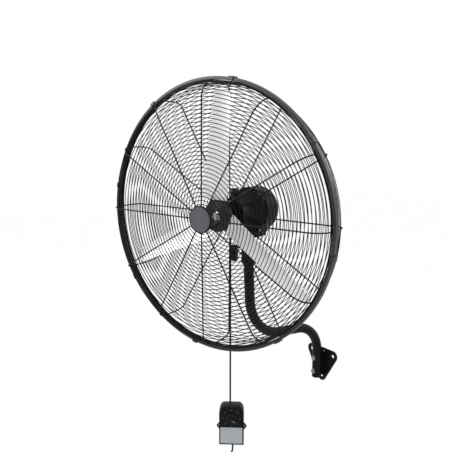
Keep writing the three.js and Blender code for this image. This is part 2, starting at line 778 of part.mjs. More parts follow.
function makeRim() {
  const half = rimWidth / 2;
  const band = turnedY([
    [rimRadius, -half], [rimRadius, half], [lipRadius, half], [lipRadius, half - rimWall],
    [rimRadius - rimWall, half - rimWall], [rimRadius - rimWall, -half + rimWall],
    [lipRadius, -half + rimWall], [lipRadius, -half],
  ], 48);
  const clips = [];
  for (let k = 0; k < clipCount; k += 1) {
    const [z0, z1] = [-clipWidth / 2, clipWidth / 2];
    const top = rimRadius + clipWall;
    const side = half + clipWall;
    const parts = [
      block(rimRadius - 1, top, -side, side, z0, z1),
      block(lipRadius + 2, top, half - 1, side, z0, z1),
      block(lipRadius + 2, top, -side, -half + 1, z0, z1),
    ];
    // +X turned to the clip's place, clockwise from the top as seen from the front
    const turn = radians(clipClock + (360 * k) / clipCount - 90);
    clips.push(...parts.map((part) => part.rotateY(turn)));
  }
  add(head, 'rim_band', join(band, ...clips), rimPaint);
}

// ---------- Rotor: shaft, core, hub, blades, washer and nut ----------
const lobePitch = radians(rootPitch);
const rivetPlaces = [[lobeShoulder + 8, -12], [lobeShoulder + 8, 12], [lobeTip - 9, 0]];

// From blade axes (out along the blade, across it, forwards) to the head's axes
function toBladePlace(geometry, k) {
  return geometry.rotateX(lobePitch).rotateX(Math.PI / 2).translate(0, lobePlane, 0)
    .rotateY(-radians(bladeAngle + (360 * k) / bladeCount));
}

function makeHub() {
  const bore = shaftRadius + gap;
  const back = hubFront + hubLength;
  const boss = turnedY([
    [bore, hubFront], [hubRadius - 2, hubFront], [hubRadius, hubFront + 2],
    [hubRadius, lobePlane + 14], [hubBackRadius, lobePlane + 22], [hubBackRadius, back],
    [bore, back],
  ], 24);
  const lobes = [];
  const holes = [barY(bore, hubFront - 20, back + 1, roundSides)];
  for (let k = 0; k < bladeCount; k += 1) {
    const outline = new THREE.Shape([
      [0, -lobeHalf + 6], [lobeShoulder - 6, -lobeHalf], [lobeShoulder, -lobeHalf],
      [lobeTip, -lobeTipHalf], [lobeTip, lobeTipHalf], [lobeShoulder, lobeHalf],
      [lobeShoulder - 6, lobeHalf], [0, lobeHalf - 6],
    ].map(([x, y]) => new THREE.Vector2(x, y)));
    const lobe = new THREE.ExtrudeGeometry(outline, { depth: lobeThickness, bevelEnabled: false })
      .translate(0, 0, -lobeThickness / 2);
    lobes.push(toBladePlace(lobe, k));
    rivetPlaces.forEach(([x, y]) => {
      const hole = barZ(rivetRadius + gap, -lobeThickness, lobeThickness, 6).translate(x, y, 0);
      holes.push(toBladePlace(hole, k));
    });
  }
  const recess = barY(washerRadius + 1, 0, hubFront, roundSides);
  add(head, 'hub_spider', cut(join(boss, ...lobes), recess, ...holes), hubPaint);
}

// A sheet that tapers, untwists and takes up camber from the hub's lobe to its tip
function bladeSheet() {
  const stations = 8;
  const sheet = new THREE.BoxGeometry(1, 1, 1, stations, 3, 1);
  const position = sheet.attributes.position;
  const seat = lobeThickness / 2 + gap + bladeThickness / 2;
  for (let i = 0; i < position.count; i += 1) {
    const station = Math.round((position.getX(i) + 0.5) * stations);
    const radius = station === 0 ? bladeRoot
      : lobeTip + gap + ((bladeTip - lobeTip - gap) * (station - 1)) / (stations - 1);
    const share = Math.max(0, (radius - lobeTip) / (bladeTip - lobeTip));
    const width = (radius - bladeRoot) / (bladeTip - bladeRoot);
    const chord = THREE.MathUtils.lerp(rootChord, tipChord, width);
    const lead = THREE.MathUtils.lerp(rootLead, tipLead, width);
    const untwist = radians(tipPitch - rootPitch) * share;
    const v = position.getY(i) + 0.5;
    const across = (v - lead) * chord;
    const camber = -camberShare * chord * 4 * v * (1 - v) * Math.min(1, 3 * share);
    const lift = seat + camber + position.getZ(i) * bladeThickness;
    position.setXYZ(i, radius,
      across * Math.cos(untwist) - lift * Math.sin(untwist),
      across * Math.sin(untwist) + lift * Math.cos(untwist));
  }
  return sheet;
}

function makeBlades() {
  const low = -lobeThickness / 2 - gap;
  const high = lobeThickness / 2 + gap + bladeThickness;
  for (let k = 0; k < bladeCount; k += 1) {
    const rivets = rivetPlaces.flatMap(([x, y]) => [
      barZ(rivetRadius, low - 1, high, 6).translate(x, y, 0),
      barZ(rivetHead, low - rivetHeadHeight, low, 8).translate(x, y, 0),
      barZ(rivetHead, high - 0.2, high + rivetHeadHeight, 8).translate(x, y, 0),
    ]);
    const blade = toBladePlace(join(bladeSheet(), ...rivets), k);
    add(head, `blade_${k + 1}`, blade, aluminium);
  }
}

function makeShaft() {
  const end = rearPocket + bearingWidth - gap;
  add(head, 'motor_shaft', barY(shaftRadius, shaftNose, end), steel);
  const coreStart = flangeBack + statorStart;
  add(head, 'rotor_core', turnedY([
    [shaftRadius + gap, coreStart], [statorBore - rotorClearance, coreStart],
    [statorBore - rotorClearance, coreStart + statorLength],
    [shaftRadius + gap, coreStart + statorLength],
  ], 24), steel);
  const bore = shaftRadius + gap;
  const washerFace = hubFront - gap;
  add(head, 'hub_washer', turnedY([
    [bore, washerFace - washerThickness], [washerRadius, washerFace - washerThickness],
    [washerRadius, washerFace], [bore, washerFace],
  ]), zinc);
  const nutFace = washerFace - washerThickness - gap;
  add(head, 'hub_nut', cut(barY(nutRadius, nutFace - nutLength, nutFace, 6),
    barY(bore, nutFace - nutLength - 1, nutFace + 1)), zinc);
}

// ---------- Control box ----------
const controlBox = new THREE.Group();
const cordY = -cordInset;
const boxAngle = radians(boxTurn - restPan);
controlBox.rotation.z = boxAngle;
controlBox.position.set(
  cordX - upperCordOffset * Math.cos(boxAngle) + cordY * Math.sin(boxAngle),
  -upperCordOffset * Math.sin(boxAngle) - cordY * Math.cos(boxAngle), -boxDrop,
);
swivel.add(controlBox);

// Flat top, round shoulders and straight sides; inset moves every edge inwards
function boxOutline(inset, bottom) {
  const half = boxWidth / 2 - inset;
  const flat = boxFlat / 2;
  const outline = new THREE.Shape();
  outline.moveTo(-half, -bottom + inset);
  outline.lineTo(half, -bottom + inset);
  outline.lineTo(half, -boxShoulder);
  outline.absellipse(flat, -boxShoulder, half - flat, boxShoulder - inset, 0, Math.PI / 2);
  outline.absellipse(-flat, -boxShoulder, half - flat, boxShoulder - inset,
    Math.PI / 2, Math.PI);
  outline.closePath();
  return outline;
}

function makeBoxShells() {
  const face = -coverDepth;
  const posts = (from, to) => [-1, 1].map((side) =>
    barY(boxPostRadius, from, to, 12).translate(side * boxScrewX, 0, -boxScrewDrop));
  const screwHoles = (from, to) => [-1, 1].map((side) =>
    barY(boxScrewRadius + gap, from, to, 8).translate(side * boxScrewX, 0, -boxScrewDrop));
  const cover = join(
    cut(slab(boxOutline(0, boxHeight), face, 0),
      slab(boxOutline(boxWall, boxHeight), face + boxWall, 1)),
    ...posts(face + 1, 0),
  );
  const coverHoles = [
    barY(knobShaftRadius + gap, face - 1, face + boxWall + 1, 12).translate(0, 0, -knobDrop),
    barZ(grommetRadius + gap, -boxWall - 1, 1, 14).translate(upperCordOffset, cordY, 0),
    barZ(grommetRadius + gap, -boxHeight - 1, -boxHeight + boxWall + 1, 14)
      .translate(lowerCordOffset, cordY, 0),
    ...screwHoles(face + 8, 1),
  ];
  add(controlBox, 'box_front_cover', cut(cover, ...coverHoles), blackPlastic);

  const back = shellDepth;
  const bottom = boxHeight + shellSkirt;
  const lugs = [-1, 1].map((side) => {
    const base = side * (boxWidth / 2 - boxWall / 2);
    const tip = side * (boxWidth / 2 + boxLugReach);
    const points = [
      [base, boxLugHalf - boxLugDrop], [tip, -boxLugDrop], [base, -boxLugHalf - boxLugDrop],
    ].map(([x, z]) => new THREE.Vector2(x, z));
    return slab(new THREE.Shape(side < 0 ? points : points.reverse()), gap,
      gap + boxLugThickness);
  });
  const lugHoles = [-1, 1].map((side) =>
    barY(boxLugHole, -1, boxLugThickness + 2, 10)
      .translate(side * (boxWidth / 2 + 4), 0, -boxLugDrop));
  const shell = join(
    cut(slab(boxOutline(0, bottom), gap, back),
      slab(boxOutline(boxWall, bottom), -1, back - boxWall)),
    ...lugs, ...posts(gap, back - 1),
  );
  add(controlBox, 'box_rear_shell', cut(shell, ...lugHoles, ...screwHoles(-1, back + 1)),
    blackPlastic);
  [['left', -1], ['right', 1]].forEach(([place, side]) => {
    const screw = join(
      barY(boxScrewRadius, face + 10, back + gap + 0.5, 8),
      barY(boxScrewHead, back + gap, back + gap + 1.8, 10),
    ).translate(side * boxScrewX, 0, -boxScrewDrop);
    add(controlBox, `box_screw_${place}`, screw, zinc);
  });
}

function makeBoxControls() {
  const face = -coverDepth;
  const panel = rectangle(panelWidth, panelHeight, -panelDrop - panelHeight / 2, 1.5);
  add(controlBox, 'box_panel', slab(panel, face - gap - panelThickness, face - gap, 3),
    panelGrey);
  const knobFace = face - gap;
  const grip = block(-knobGripWidth / 2, knobGripWidth / 2, knobFace - knobBase - knobGrip,
    knobFace - knobBase + 1, -knobRadius + 2, knobRadius - 2);
  const switchFront = face + boxWall + gap;
  const shaftEnd = switchFront + switchReach;
  const knob = join(
    barY(knobRadius, knobFace - knobBase, knobFace, 28),
    grip,
    barY(knobShaftRadius, knobFace - 1, shaftEnd, 10),
  ).translate(0, 0, -knobDrop);
  add(controlBox, 'selector_knob', knob, blackPlastic);
  const half = switchSize / 2;
  const switchBody = cut(
    block(-half, half, switchFront, switchFront + switchDepth, -half, half),
    barY(knobShaftRadius + gap, switchFront - 1, shaftEnd + gap, 12),
  ).translate(0, 0, -knobDrop);
  add(controlBox, 'selector_switch', switchBody, blackPlastic);
}

function makeGrommets() {
  const grommet = (direction) => turnedZ([
    [cordRadius + gap, -boxWall - 2], [grommetRadius, -boxWall - 2], [grommetRadius, gap],
    [grommetFlange, gap], [cordRadius + 1.6, grommetHeight], [cordRadius + gap, grommetHeight],
  ], 14).rotateX(direction > 0 ? 0 : Math.PI);
  add(controlBox, 'grommet_top', grommet(1).translate(upperCordOffset, cordY, 0), rubber);
  add(controlBox, 'grommet_bottom',
    grommet(-1).translate(lowerCordOffset, cordY, -boxHeight), rubber);
}

// ---------- Cords ----------
function cordRod(points, steps) {
  const curve = new THREE.CatmullRomCurve3(points.map((p) => new THREE.Vector3(...p)));
  return rod(curve, cordRadius, cordSides, steps);
}

// Motor lead: out of the gland on the shell, down to the end of the upper cord
const glandAngle = 222;
const glandY = 22;
const glandLength = 14;

function makeLead() {
  const angle = radians(glandAngle);
  const glandBase = motorRadius + gap;
  const gland = cut(
    new THREE.CylinderGeometry(cordRadius + 1.6, 6.5, glandLength, 14)
      .translate(0, glandBase + glandLength / 2, 0),
    barY(cordRadius + gap, glandBase + 3, glandBase + glandLength + 1, 12),
  ).rotateZ(-Math.PI / 2).rotateY(-angle).translate(0, glandY, 0);
  add(swivel, 'motor_gland', gland, rubber);
  const radial = (radius) => [radius * Math.cos(angle), glandY, radius * Math.sin(angle)];
  const leadEnd = -tiltDrop + leadGap / 2;
  const route = [
    radial(glandBase + 3 + gap), radial(glandBase + glandLength - 3),
    radial(glandBase + glandLength + 3), [-73, 12, -77], [cordX, 3, -90],
    [cordX, 0, leadEnd + 4], [cordX, 0, leadEnd],
  ];
  add(swivel, 'motor_lead', cordRod(route, 14), rubber);
}

function makeUpperCord() {
  const route = [
    [cordX, 0, -tiltDrop - leadGap / 2], [cordX, 0, -200], [cordX, 0, -360], [cordX, 0, -520],
    [cordX, 0, -boxDrop + 20], [cordX, 0, -boxDrop - 8],
  ];
  add(swivel, 'cord_upper', cordRod(route, 38), rubber);
}

const coilX = lowerCordOffset;
const coilSide = coilX - coilRadius;

function makeLowerCord() {
  const route = [
    [lowerCordOffset, cordY, -boxHeight + 8], [lowerCordOffset, cordY, -boxHeight - 15],
    [lowerCordOffset - 3, cordY, -boxHeight - 34], [-14, cordY, -198],
    [coilSide + 2, cordY, -213], [coilSide, cordY, -coilDrop + coilEntry],
  ];
  add(controlBox, 'cord_lower', cordRod(route, 9), rubber);
  const ring = [];
  for (let k = 0; k < 8; k += 1) {
    const angle = radians(22.5 + 45 * k);
    ring.push([coilRadius + coilSection * Math.cos(angle), coilSection * Math.sin(angle)]);
  }
  add(controlBox, 'cord_coil', turnedY(ring, 28).translate(coilX, cordY, -coilDrop), rubber);
  const tieBore = coilSection + tieSlack;
  const tie = turnedY([
    [tieBore, -tieWidth / 2], [tieBore + tieWall, -tieWidth / 2],
    [tieBore + tieWall, tieWidth / 2], [tieBore, tieWidth / 2],
  ], 14).rotateZ(Math.PI / 2).translate(coilX, cordY, -coilDrop + coilRadius);
  add(controlBox, 'cord_tie', tie, blackPlastic);
  const tailTop = -coilDrop - coilEntry;
  const tail = [
    [coilSide, cordY, tailTop], [coilSide, cordY, tailTop - tailLength / 2],
    [coilSide, cordY, tailTop - tailLength],
  ];
  add(controlBox, 'cord_tail', cordRod(tail, 2), rubber);
  const plugTop = tailTop - tailLength - gap;
  const neck = new THREE.CylinderGeometry(cordRadius + 1.5, 7, plugNose, 14)
    .rotateX(Math.PI / 2).translate(0, 0, -plugNose / 2);
  const body = block(-plugWidth / 2, plugWidth / 2, -plugDepth / 2, plugDepth / 2,
    -plugLength, -plugNose + 1);
  const pins = [[-6.35, 3, 0.75, 3.2], [6.35, 3, 0.75, 3.2]].map(([x, y, halfX, halfY]) =>
    block(x - halfX, x + halfX, y - halfY, y + halfY, -plugLength - plugPin, -plugLength + 1));
  const groundPin = barZ(2.4, -plugLength - plugPin - 3, -plugLength + 1, 10)
    .translate(0, -5.5, 0);
  const plug = join(neck, body, ...pins, groundPin).translate(coilSide, cordY, plugTop);
  add(controlBox, 'plug', plug, rubber);
}

makeWallPlate();
makeArm();
makeYoke();
makeCapacitor();
makeShield();
makeShell();
makeMotorInside();
makeFoot();
makeGuards();
makeRim();
makeHub();
makeBlades();
makeShaft();
makeBoxShells();
makeBoxControls();
makeGrommets();
makeLead();
makeUpperCord();
makeLowerCord();

export default fan;
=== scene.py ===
import json
import math

import bmesh
import bpy
import numpy as np
from mathutils import Vector
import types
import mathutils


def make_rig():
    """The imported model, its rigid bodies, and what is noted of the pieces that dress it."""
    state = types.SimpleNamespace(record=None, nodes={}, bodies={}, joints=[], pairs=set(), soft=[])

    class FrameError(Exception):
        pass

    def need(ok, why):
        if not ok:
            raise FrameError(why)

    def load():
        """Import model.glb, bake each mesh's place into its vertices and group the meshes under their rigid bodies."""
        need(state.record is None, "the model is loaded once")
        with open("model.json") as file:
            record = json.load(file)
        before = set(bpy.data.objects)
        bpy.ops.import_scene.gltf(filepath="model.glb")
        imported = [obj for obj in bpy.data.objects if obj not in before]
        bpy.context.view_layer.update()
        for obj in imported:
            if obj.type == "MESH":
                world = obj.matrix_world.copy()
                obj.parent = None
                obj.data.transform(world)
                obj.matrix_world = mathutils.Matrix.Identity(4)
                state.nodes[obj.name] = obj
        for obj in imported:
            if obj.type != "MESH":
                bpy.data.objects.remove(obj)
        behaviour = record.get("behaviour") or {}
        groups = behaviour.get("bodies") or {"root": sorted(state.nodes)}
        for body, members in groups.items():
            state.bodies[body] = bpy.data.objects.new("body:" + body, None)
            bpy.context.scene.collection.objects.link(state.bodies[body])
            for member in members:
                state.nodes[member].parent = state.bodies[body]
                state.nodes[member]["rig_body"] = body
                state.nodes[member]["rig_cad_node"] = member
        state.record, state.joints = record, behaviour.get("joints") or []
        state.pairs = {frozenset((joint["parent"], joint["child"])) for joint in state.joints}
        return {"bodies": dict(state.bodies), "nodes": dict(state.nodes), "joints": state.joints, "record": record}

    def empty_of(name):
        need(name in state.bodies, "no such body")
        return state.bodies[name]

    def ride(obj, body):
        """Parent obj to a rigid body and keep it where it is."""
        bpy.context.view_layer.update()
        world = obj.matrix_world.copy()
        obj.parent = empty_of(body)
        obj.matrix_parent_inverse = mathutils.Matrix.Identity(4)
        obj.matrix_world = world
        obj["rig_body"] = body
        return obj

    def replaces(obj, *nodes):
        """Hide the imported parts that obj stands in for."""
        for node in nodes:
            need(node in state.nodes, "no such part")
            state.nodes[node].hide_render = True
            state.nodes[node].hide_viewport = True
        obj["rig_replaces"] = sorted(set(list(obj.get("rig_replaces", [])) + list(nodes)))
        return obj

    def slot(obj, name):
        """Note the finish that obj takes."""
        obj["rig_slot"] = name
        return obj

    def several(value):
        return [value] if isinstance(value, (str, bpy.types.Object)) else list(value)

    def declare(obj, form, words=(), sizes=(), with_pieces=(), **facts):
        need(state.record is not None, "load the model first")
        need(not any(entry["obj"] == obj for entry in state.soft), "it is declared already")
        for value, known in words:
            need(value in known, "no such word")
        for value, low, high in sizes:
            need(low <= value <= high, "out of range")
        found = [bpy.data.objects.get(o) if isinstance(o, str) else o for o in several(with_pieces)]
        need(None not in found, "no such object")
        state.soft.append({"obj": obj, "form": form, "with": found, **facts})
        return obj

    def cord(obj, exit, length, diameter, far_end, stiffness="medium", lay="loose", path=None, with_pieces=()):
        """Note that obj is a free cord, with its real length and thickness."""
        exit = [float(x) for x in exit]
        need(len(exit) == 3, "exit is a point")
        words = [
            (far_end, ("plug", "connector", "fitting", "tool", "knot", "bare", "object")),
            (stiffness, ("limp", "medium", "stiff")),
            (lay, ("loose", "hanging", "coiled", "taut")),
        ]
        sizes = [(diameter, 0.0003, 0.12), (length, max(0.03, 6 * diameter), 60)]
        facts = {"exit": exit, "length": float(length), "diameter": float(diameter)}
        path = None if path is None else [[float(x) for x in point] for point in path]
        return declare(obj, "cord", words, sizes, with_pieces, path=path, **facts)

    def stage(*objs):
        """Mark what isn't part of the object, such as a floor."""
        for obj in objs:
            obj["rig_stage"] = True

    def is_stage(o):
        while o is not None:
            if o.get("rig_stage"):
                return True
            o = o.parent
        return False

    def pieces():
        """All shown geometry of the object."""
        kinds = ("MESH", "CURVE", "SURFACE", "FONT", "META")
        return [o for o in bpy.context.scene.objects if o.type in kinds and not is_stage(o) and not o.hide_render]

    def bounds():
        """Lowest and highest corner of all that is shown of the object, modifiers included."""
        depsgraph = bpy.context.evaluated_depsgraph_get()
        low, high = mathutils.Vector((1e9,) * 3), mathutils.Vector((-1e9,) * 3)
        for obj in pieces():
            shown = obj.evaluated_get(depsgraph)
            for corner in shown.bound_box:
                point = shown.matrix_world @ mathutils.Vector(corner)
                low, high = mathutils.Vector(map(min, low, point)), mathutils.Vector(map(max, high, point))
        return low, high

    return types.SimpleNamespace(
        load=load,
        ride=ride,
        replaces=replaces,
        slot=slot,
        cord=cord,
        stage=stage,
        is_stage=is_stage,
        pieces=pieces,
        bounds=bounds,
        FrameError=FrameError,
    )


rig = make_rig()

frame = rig.load()
cad_box = [list(corner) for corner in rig.bounds()]

# ---- Camera and studio ----
# The camera stands in front of the fan, to its right and a little above the motor, as in the
# photograph. The floor lies below the plug, and both it and the world look white.
camera_data = bpy.data.cameras.new("camera")
camera_data.lens = 47.8
camera_data.sensor_width = 36.0
camera_data.clip_end = 50.0
camera = bpy.data.objects.new("camera", camera_data)
camera.location = (1.4816, -1.5699, 0.8905)
camera.rotation_euler = (math.radians(80), 0, math.radians(53))
bpy.context.scene.collection.objects.link(camera)
bpy.context.scene.camera = camera
bpy.context.scene.view_settings.view_transform = "Standard"


def shows_white(tree, lit, glow, power):
    """Mixes a lit surface with plain white light for camera, mirror and glass rays."""
    path = tree.nodes.new("ShaderNodeLightPath")
    seen = path.outputs["Is Camera Ray"]
    for ray in ("Is Glossy Ray", "Is Transmission Ray"):
        either = tree.nodes.new("ShaderNodeMath")
        either.operation = "MAXIMUM"
        tree.links.new(seen, either.inputs[0])
        tree.links.new(path.outputs[ray], either.inputs[1])
        seen = either.outputs[0]
    share = tree.nodes.new("ShaderNodeMath")
    share.operation = "MULTIPLY"
    share.inputs[1].default_value = power
    mix = tree.nodes.new("ShaderNodeMixShader")
    tree.links.new(seen, share.inputs[0])
    tree.links.new(share.outputs[0], mix.inputs[0])
    tree.links.new(lit, mix.inputs[1])
    tree.links.new(glow, mix.inputs[2])
    return mix.outputs[0]


world = bpy.data.worlds.new("studio")
world.use_nodes = True
bpy.context.scene.world = world
dim = world.node_tree.nodes["Background"]
dim.inputs["Color"].default_value = (0.93, 0.96, 1.0, 1)
dim.inputs["Strength"].default_value = 0.45
white = world.node_tree.nodes.new("ShaderNodeBackground")
white.inputs["Color"].default_value = (1, 1, 1, 1)
world.node_tree.links.new(
    shows_white(world.node_tree, dim.outputs[0], white.outputs[0], 1.0),
    world.node_tree.nodes["World Output"].inputs["Surface"],
)

GROUND, FLOOR_HALF, FLOOR_GLOW = -0.62, 9, 0.985
floor_mesh = bpy.data.meshes.new("floor")
floor_mesh.from_pydata([(x * FLOOR_HALF, y * FLOOR_HALF, GROUND) for x, y in (
    (-1, -1), (1, -1), (1, 1), (-1, 1))], [], [(0, 1, 2, 3)])
floor = bpy.data.objects.new("floor", floor_mesh)
bpy.context.scene.collection.objects.link(floor)
floor_look = bpy.data.materials.new("floor")
floor_look.use_nodes = True
floor_lit = floor_look.node_tree.nodes["Principled BSDF"]
floor_lit.inputs["Base Color"].default_value = (0.9, 0.9, 0.9, 1)
floor_lit.inputs["Roughness"].default_value = 0.8
floor_glow = floor_look.node_tree.nodes.new("ShaderNodeEmission")
floor_look.node_tree.links.new(
    shows_white(floor_look.node_tree, floor_lit.outputs[0], floor_glow.outputs[0],
                FLOOR_GLOW),
    floor_look.node_tree.nodes["Material Output"].inputs["Surface"],
)
floor_mesh.materials.append(floor_look)
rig.stage(floor)

LIT_MIDDLE = Vector((0.0, -0.45, 0.45))
for lamp, spot, power, size in (
    ("key_lamp", (-1.6, -3.0, 2.2), 85, 1.8),
    ("fill_lamp", (3.2, -1.6, 1.6), 45, 2.0),
    ("back_lamp", (1.4, 2.4, 2.2), 40, 1.6),
    ("top_lamp", (0.0, -0.6, 3.4), 40, 2.2),
):
    lamp_data = bpy.data.lights.new(lamp, "AREA")
    lamp_data.energy = power
    lamp_data.size = size
    lamp_object = bpy.data.objects.new(lamp, lamp_data)
    lamp_object.location = spot
    aim = LIT_MIDDLE - Vector(spot)
    lamp_object.rotation_euler = aim.to_track_quat("-Z", "Y").to_euler()
    bpy.context.scene.collection.objects.link(lamp_object)


# ---- Cords ----
# One black round cord, 6.2 mm thick, runs from the motor's gland to the control box and on to
# the mains. Its unseen end is wound into a coil held by a tie, and ends in a moulded plug.
HEAD_TURN = math.radians(15.5)
SWIVEL = np.array([0.0, -0.361, 0.606])
RIM_TO_SWIVEL = 0.182
BOX_TURN = math.radians(50)
BOX_TOP = np.array([-0.0748, -0.37214, -0.089])
CORD = 0.0062
CORD_X = -0.0744
BOX_CORD_Y = -0.008
COIL_CENTRE = -0.255
COIL_RADIUS = 0.0365


def turned_about_z(points, angle, centre):
    """Points turned by angle about Z, then moved by centre."""
    x, y, z = np.moveaxis(np.asarray(points, float), -1, 0)
    c, s = math.cos(angle), math.sin(angle)
    return np.stack([x * c - y * s, x * s + y * c, z], -1) + centre


def on_wall(points):
    """Leaves points in the wall's axes."""
    return np.asarray(points, float)


def on_swivel(points):
    """Swivel axes, from the motor's axis above the arm: x right, y back, z up."""
    return turned_about_z(points, HEAD_TURN, SWIVEL)


def on_head(points):
    """Head axes, from the middle of the rim: x right, y back along the shaft, z up."""
    return on_swivel(np.asarray(points, float) - [0, RIM_TO_SWIVEL, 0])


def on_box(points):
    """Control box axes, from the top of its parting line: x right, y back, z up."""
    return turned_about_z(points, BOX_TURN, BOX_TOP)


def skin(name, patches, finish, body, slot, hides=()):
    """One piece made of grids. A patch is (points[m, n, 3], closed_m, closed_n, capped): row i
    joins row i+1, and capped closes the first and last rows."""
    verts, faces, start = [], [], 0
    for points, closed_m, closed_n, capped in patches:
        m, n = points.shape[:2]
        index = np.arange(m * n).reshape(m, n) + start
        down = np.roll(index, -1, 0) if closed_m else index[1:]
        here = index if closed_m else index[:-1]
        if closed_n:
            quads = np.stack([here, np.roll(here, -1, 1), np.roll(down, -1, 1), down], -1)
        else:
            quads = np.stack([here[:, :-1], here[:, 1:], down[:, 1:], down[:, :-1]], -1)
        verts.append(points.reshape(-1, 3))
        faces.extend(quads.reshape(-1, 4).tolist())
        if capped:
            faces.extend([index[0].tolist(), index[-1][::-1].tolist()])
        start += m * n
    return piece_of(name, np.concatenate(verts), faces, finish, body, slot, hides)


def piece_of(name, points, faces, finish, body, slot, hides):
    """Merges doubles at poles, turns the faces of each closed shell outwards, shades smooth all
    but sharp edges, and sets the piece on its body in place of the nodes that it hides."""
    mesh = bpy.data.meshes.new(name)
    mesh.from_pydata(points.tolist(), [], faces)
    shape = bmesh.new()
    shape.from_mesh(mesh)
    bmesh.ops.remove_doubles(shape, verts=shape.verts, dist=1e-6)
    bmesh.ops.dissolve_degenerate(shape, edges=shape.edges, dist=1e-7)
    bmesh.ops.recalc_face_normals(shape, faces=shape.faces)
    shape.to_mesh(mesh)
    shape.free()
    mesh.materials.append(finish)
    mesh.polygons.foreach_set("use_smooth", np.ones(len(mesh.polygons), bool))
    mesh.set_sharp_from_angle(angle=math.radians(40))
    piece = bpy.data.objects.new(name, mesh)
    bpy.context.scene.collection.objects.link(piece)
    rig.ride(piece, body)
    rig.slot(piece, slot)
    if hides:
        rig.replaces(piece, *hides)
    return piece


def fitted(node, patches, finish, body, slot):
    """A small piece in place of the solid that its name starts with."""
    return skin(f"{node}_look", patches, finish, body, slot, [node])


def ended(points):
    """A patch whose rows are closed loops, with a face at each end."""
    return points, False, True, True


def along(path, section):
    """Carries a section along a path. Each station holds section[:, 0] along one normal and
    section[:, 1] along the other, with the normals turned as little as possible between
    stations. section is one (n, 2) outline, or one for each station."""
    path = np.asarray(path, float)
    step = np.gradient(path, axis=0)
    step /= np.linalg.norm(step, axis=1)[:, None]
    normal = np.cross(step[0], [0.0, 0.0, 1.0] if abs(step[0][2]) < 0.9 else [1.0, 0.0, 0.0])
    normals = []
    for direction in step:
        normal = normal - direction * (normal @ direction)
        normal /= np.linalg.norm(normal)
        normals.append(normal)
    normals = np.array(normals)
    across = np.cross(step, normals)
    section = np.broadcast_to(section, (len(path),) + np.asarray(section).shape[-2:])
    return (
        path[:, None]
        + section[:, :, :1] * normals[:, None]
        + section[:, :, 1:] * across[:, None]
    )


def circle(radius, sides, turn=0.0):
    """Points round a circle."""
    angle = np.arange(sides) * 2 * math.pi / sides + turn
    return np.stack([np.cos(angle), np.sin(angle)], -1) * radius


def smooth_path(points, count):
    """Points at equal distances along a Catmull-Rom curve through the given points."""
    p = np.asarray(points, float)
    p = np.concatenate([[2 * p[0] - p[1]], p, [2 * p[-1] - p[-2]]])
    t = np.linspace(0, 1, 40, endpoint=False)[:, None]
    runs = []
    for a, b, c, d in zip(p, p[1:], p[2:], p[3:]):
        runs.append(
            0.5 * (2 * b + (c - a) * t + (2 * a - 5 * b + 4 * c - d) * t**2
                   + (3 * b - a - 3 * c + d) * t**3)
        )
    fine = np.concatenate(runs + [p[-2:-1]])
    distance = np.concatenate([[0], np.cumsum(np.linalg.norm(np.diff(fine, axis=0), axis=1))])
    at = np.linspace(0, distance[-1], count)
    return np.stack([np.interp(at, distance, fine[:, k]) for k in range(3)], -1)


def shader_group(name, inputs, outputs, kind):
    """A shader group with its sockets, the inputs of one kind and the outputs plain numbers,
    and the nodes that read them, fill them and give object coordinates."""
    group = bpy.data.node_groups.new(name, "ShaderNodeTree")
    for socket in inputs:
        group.interface.new_socket(socket, in_out="INPUT", socket_type=kind)
    for socket in outputs:
        group.interface.new_socket(socket, in_out="OUTPUT", socket_type="NodeSocketFloat")
    return group, *[group.nodes.new(node) for node in (
        "NodeGroupInput", "NodeGroupOutput", "ShaderNodeTexCoord")]


def speckle_group():
    """Fine and broad noise on object coordinates, each from 0 to 1."""
    group, entry, leave, place = shader_group(
        "speckle", ("Fine Size", "Broad Size"), ("Fine", "Broad"), "NodeSocketFloat")
    for size, detail in (("Fine", 3.0), ("Broad", 5.0)):
        noise = group.nodes.new("ShaderNodeTexNoise")
        noise.inputs["Detail"].default_value = detail
        group.links.new(place.outputs["Object"], noise.inputs["Vector"])
        group.links.new(entry.outputs[f"{size} Size"], noise.inputs["Scale"])
        group.links.new(noise.outputs["Fac"], leave.inputs[size])
    return group


def streak_group():
    """Noise drawn out along the axes that Stretch makes small, after Turn, from 0 to 1."""
    group, entry, leave, place = shader_group(
        "streaks", ("Stretch", "Turn"), ("Streak",), "NodeSocketVector")
    turn = group.nodes.new("ShaderNodeMapping")
    stretch = group.nodes.new("ShaderNodeVectorMath")
    stretch.operation = "MULTIPLY"
    noise = group.nodes.new("ShaderNodeTexNoise")
    noise.inputs["Scale"].default_value = 1.0
    noise.inputs["Detail"].default_value = 4.0
    group.links.new(place.outputs["Object"], turn.inputs["Vector"])
    group.links.new(entry.outputs["Turn"], turn.inputs["Rotation"])
    group.links.new(turn.outputs["Vector"], stretch.inputs[0])
    group.links.new(entry.outputs["Stretch"], stretch.inputs[1])
    group.links.new(stretch.outputs[0], noise.inputs["Vector"])
    group.links.new(noise.outputs["Fac"], leave.inputs["Streak"])
    return group


speckle, streaks = speckle_group(), streak_group()


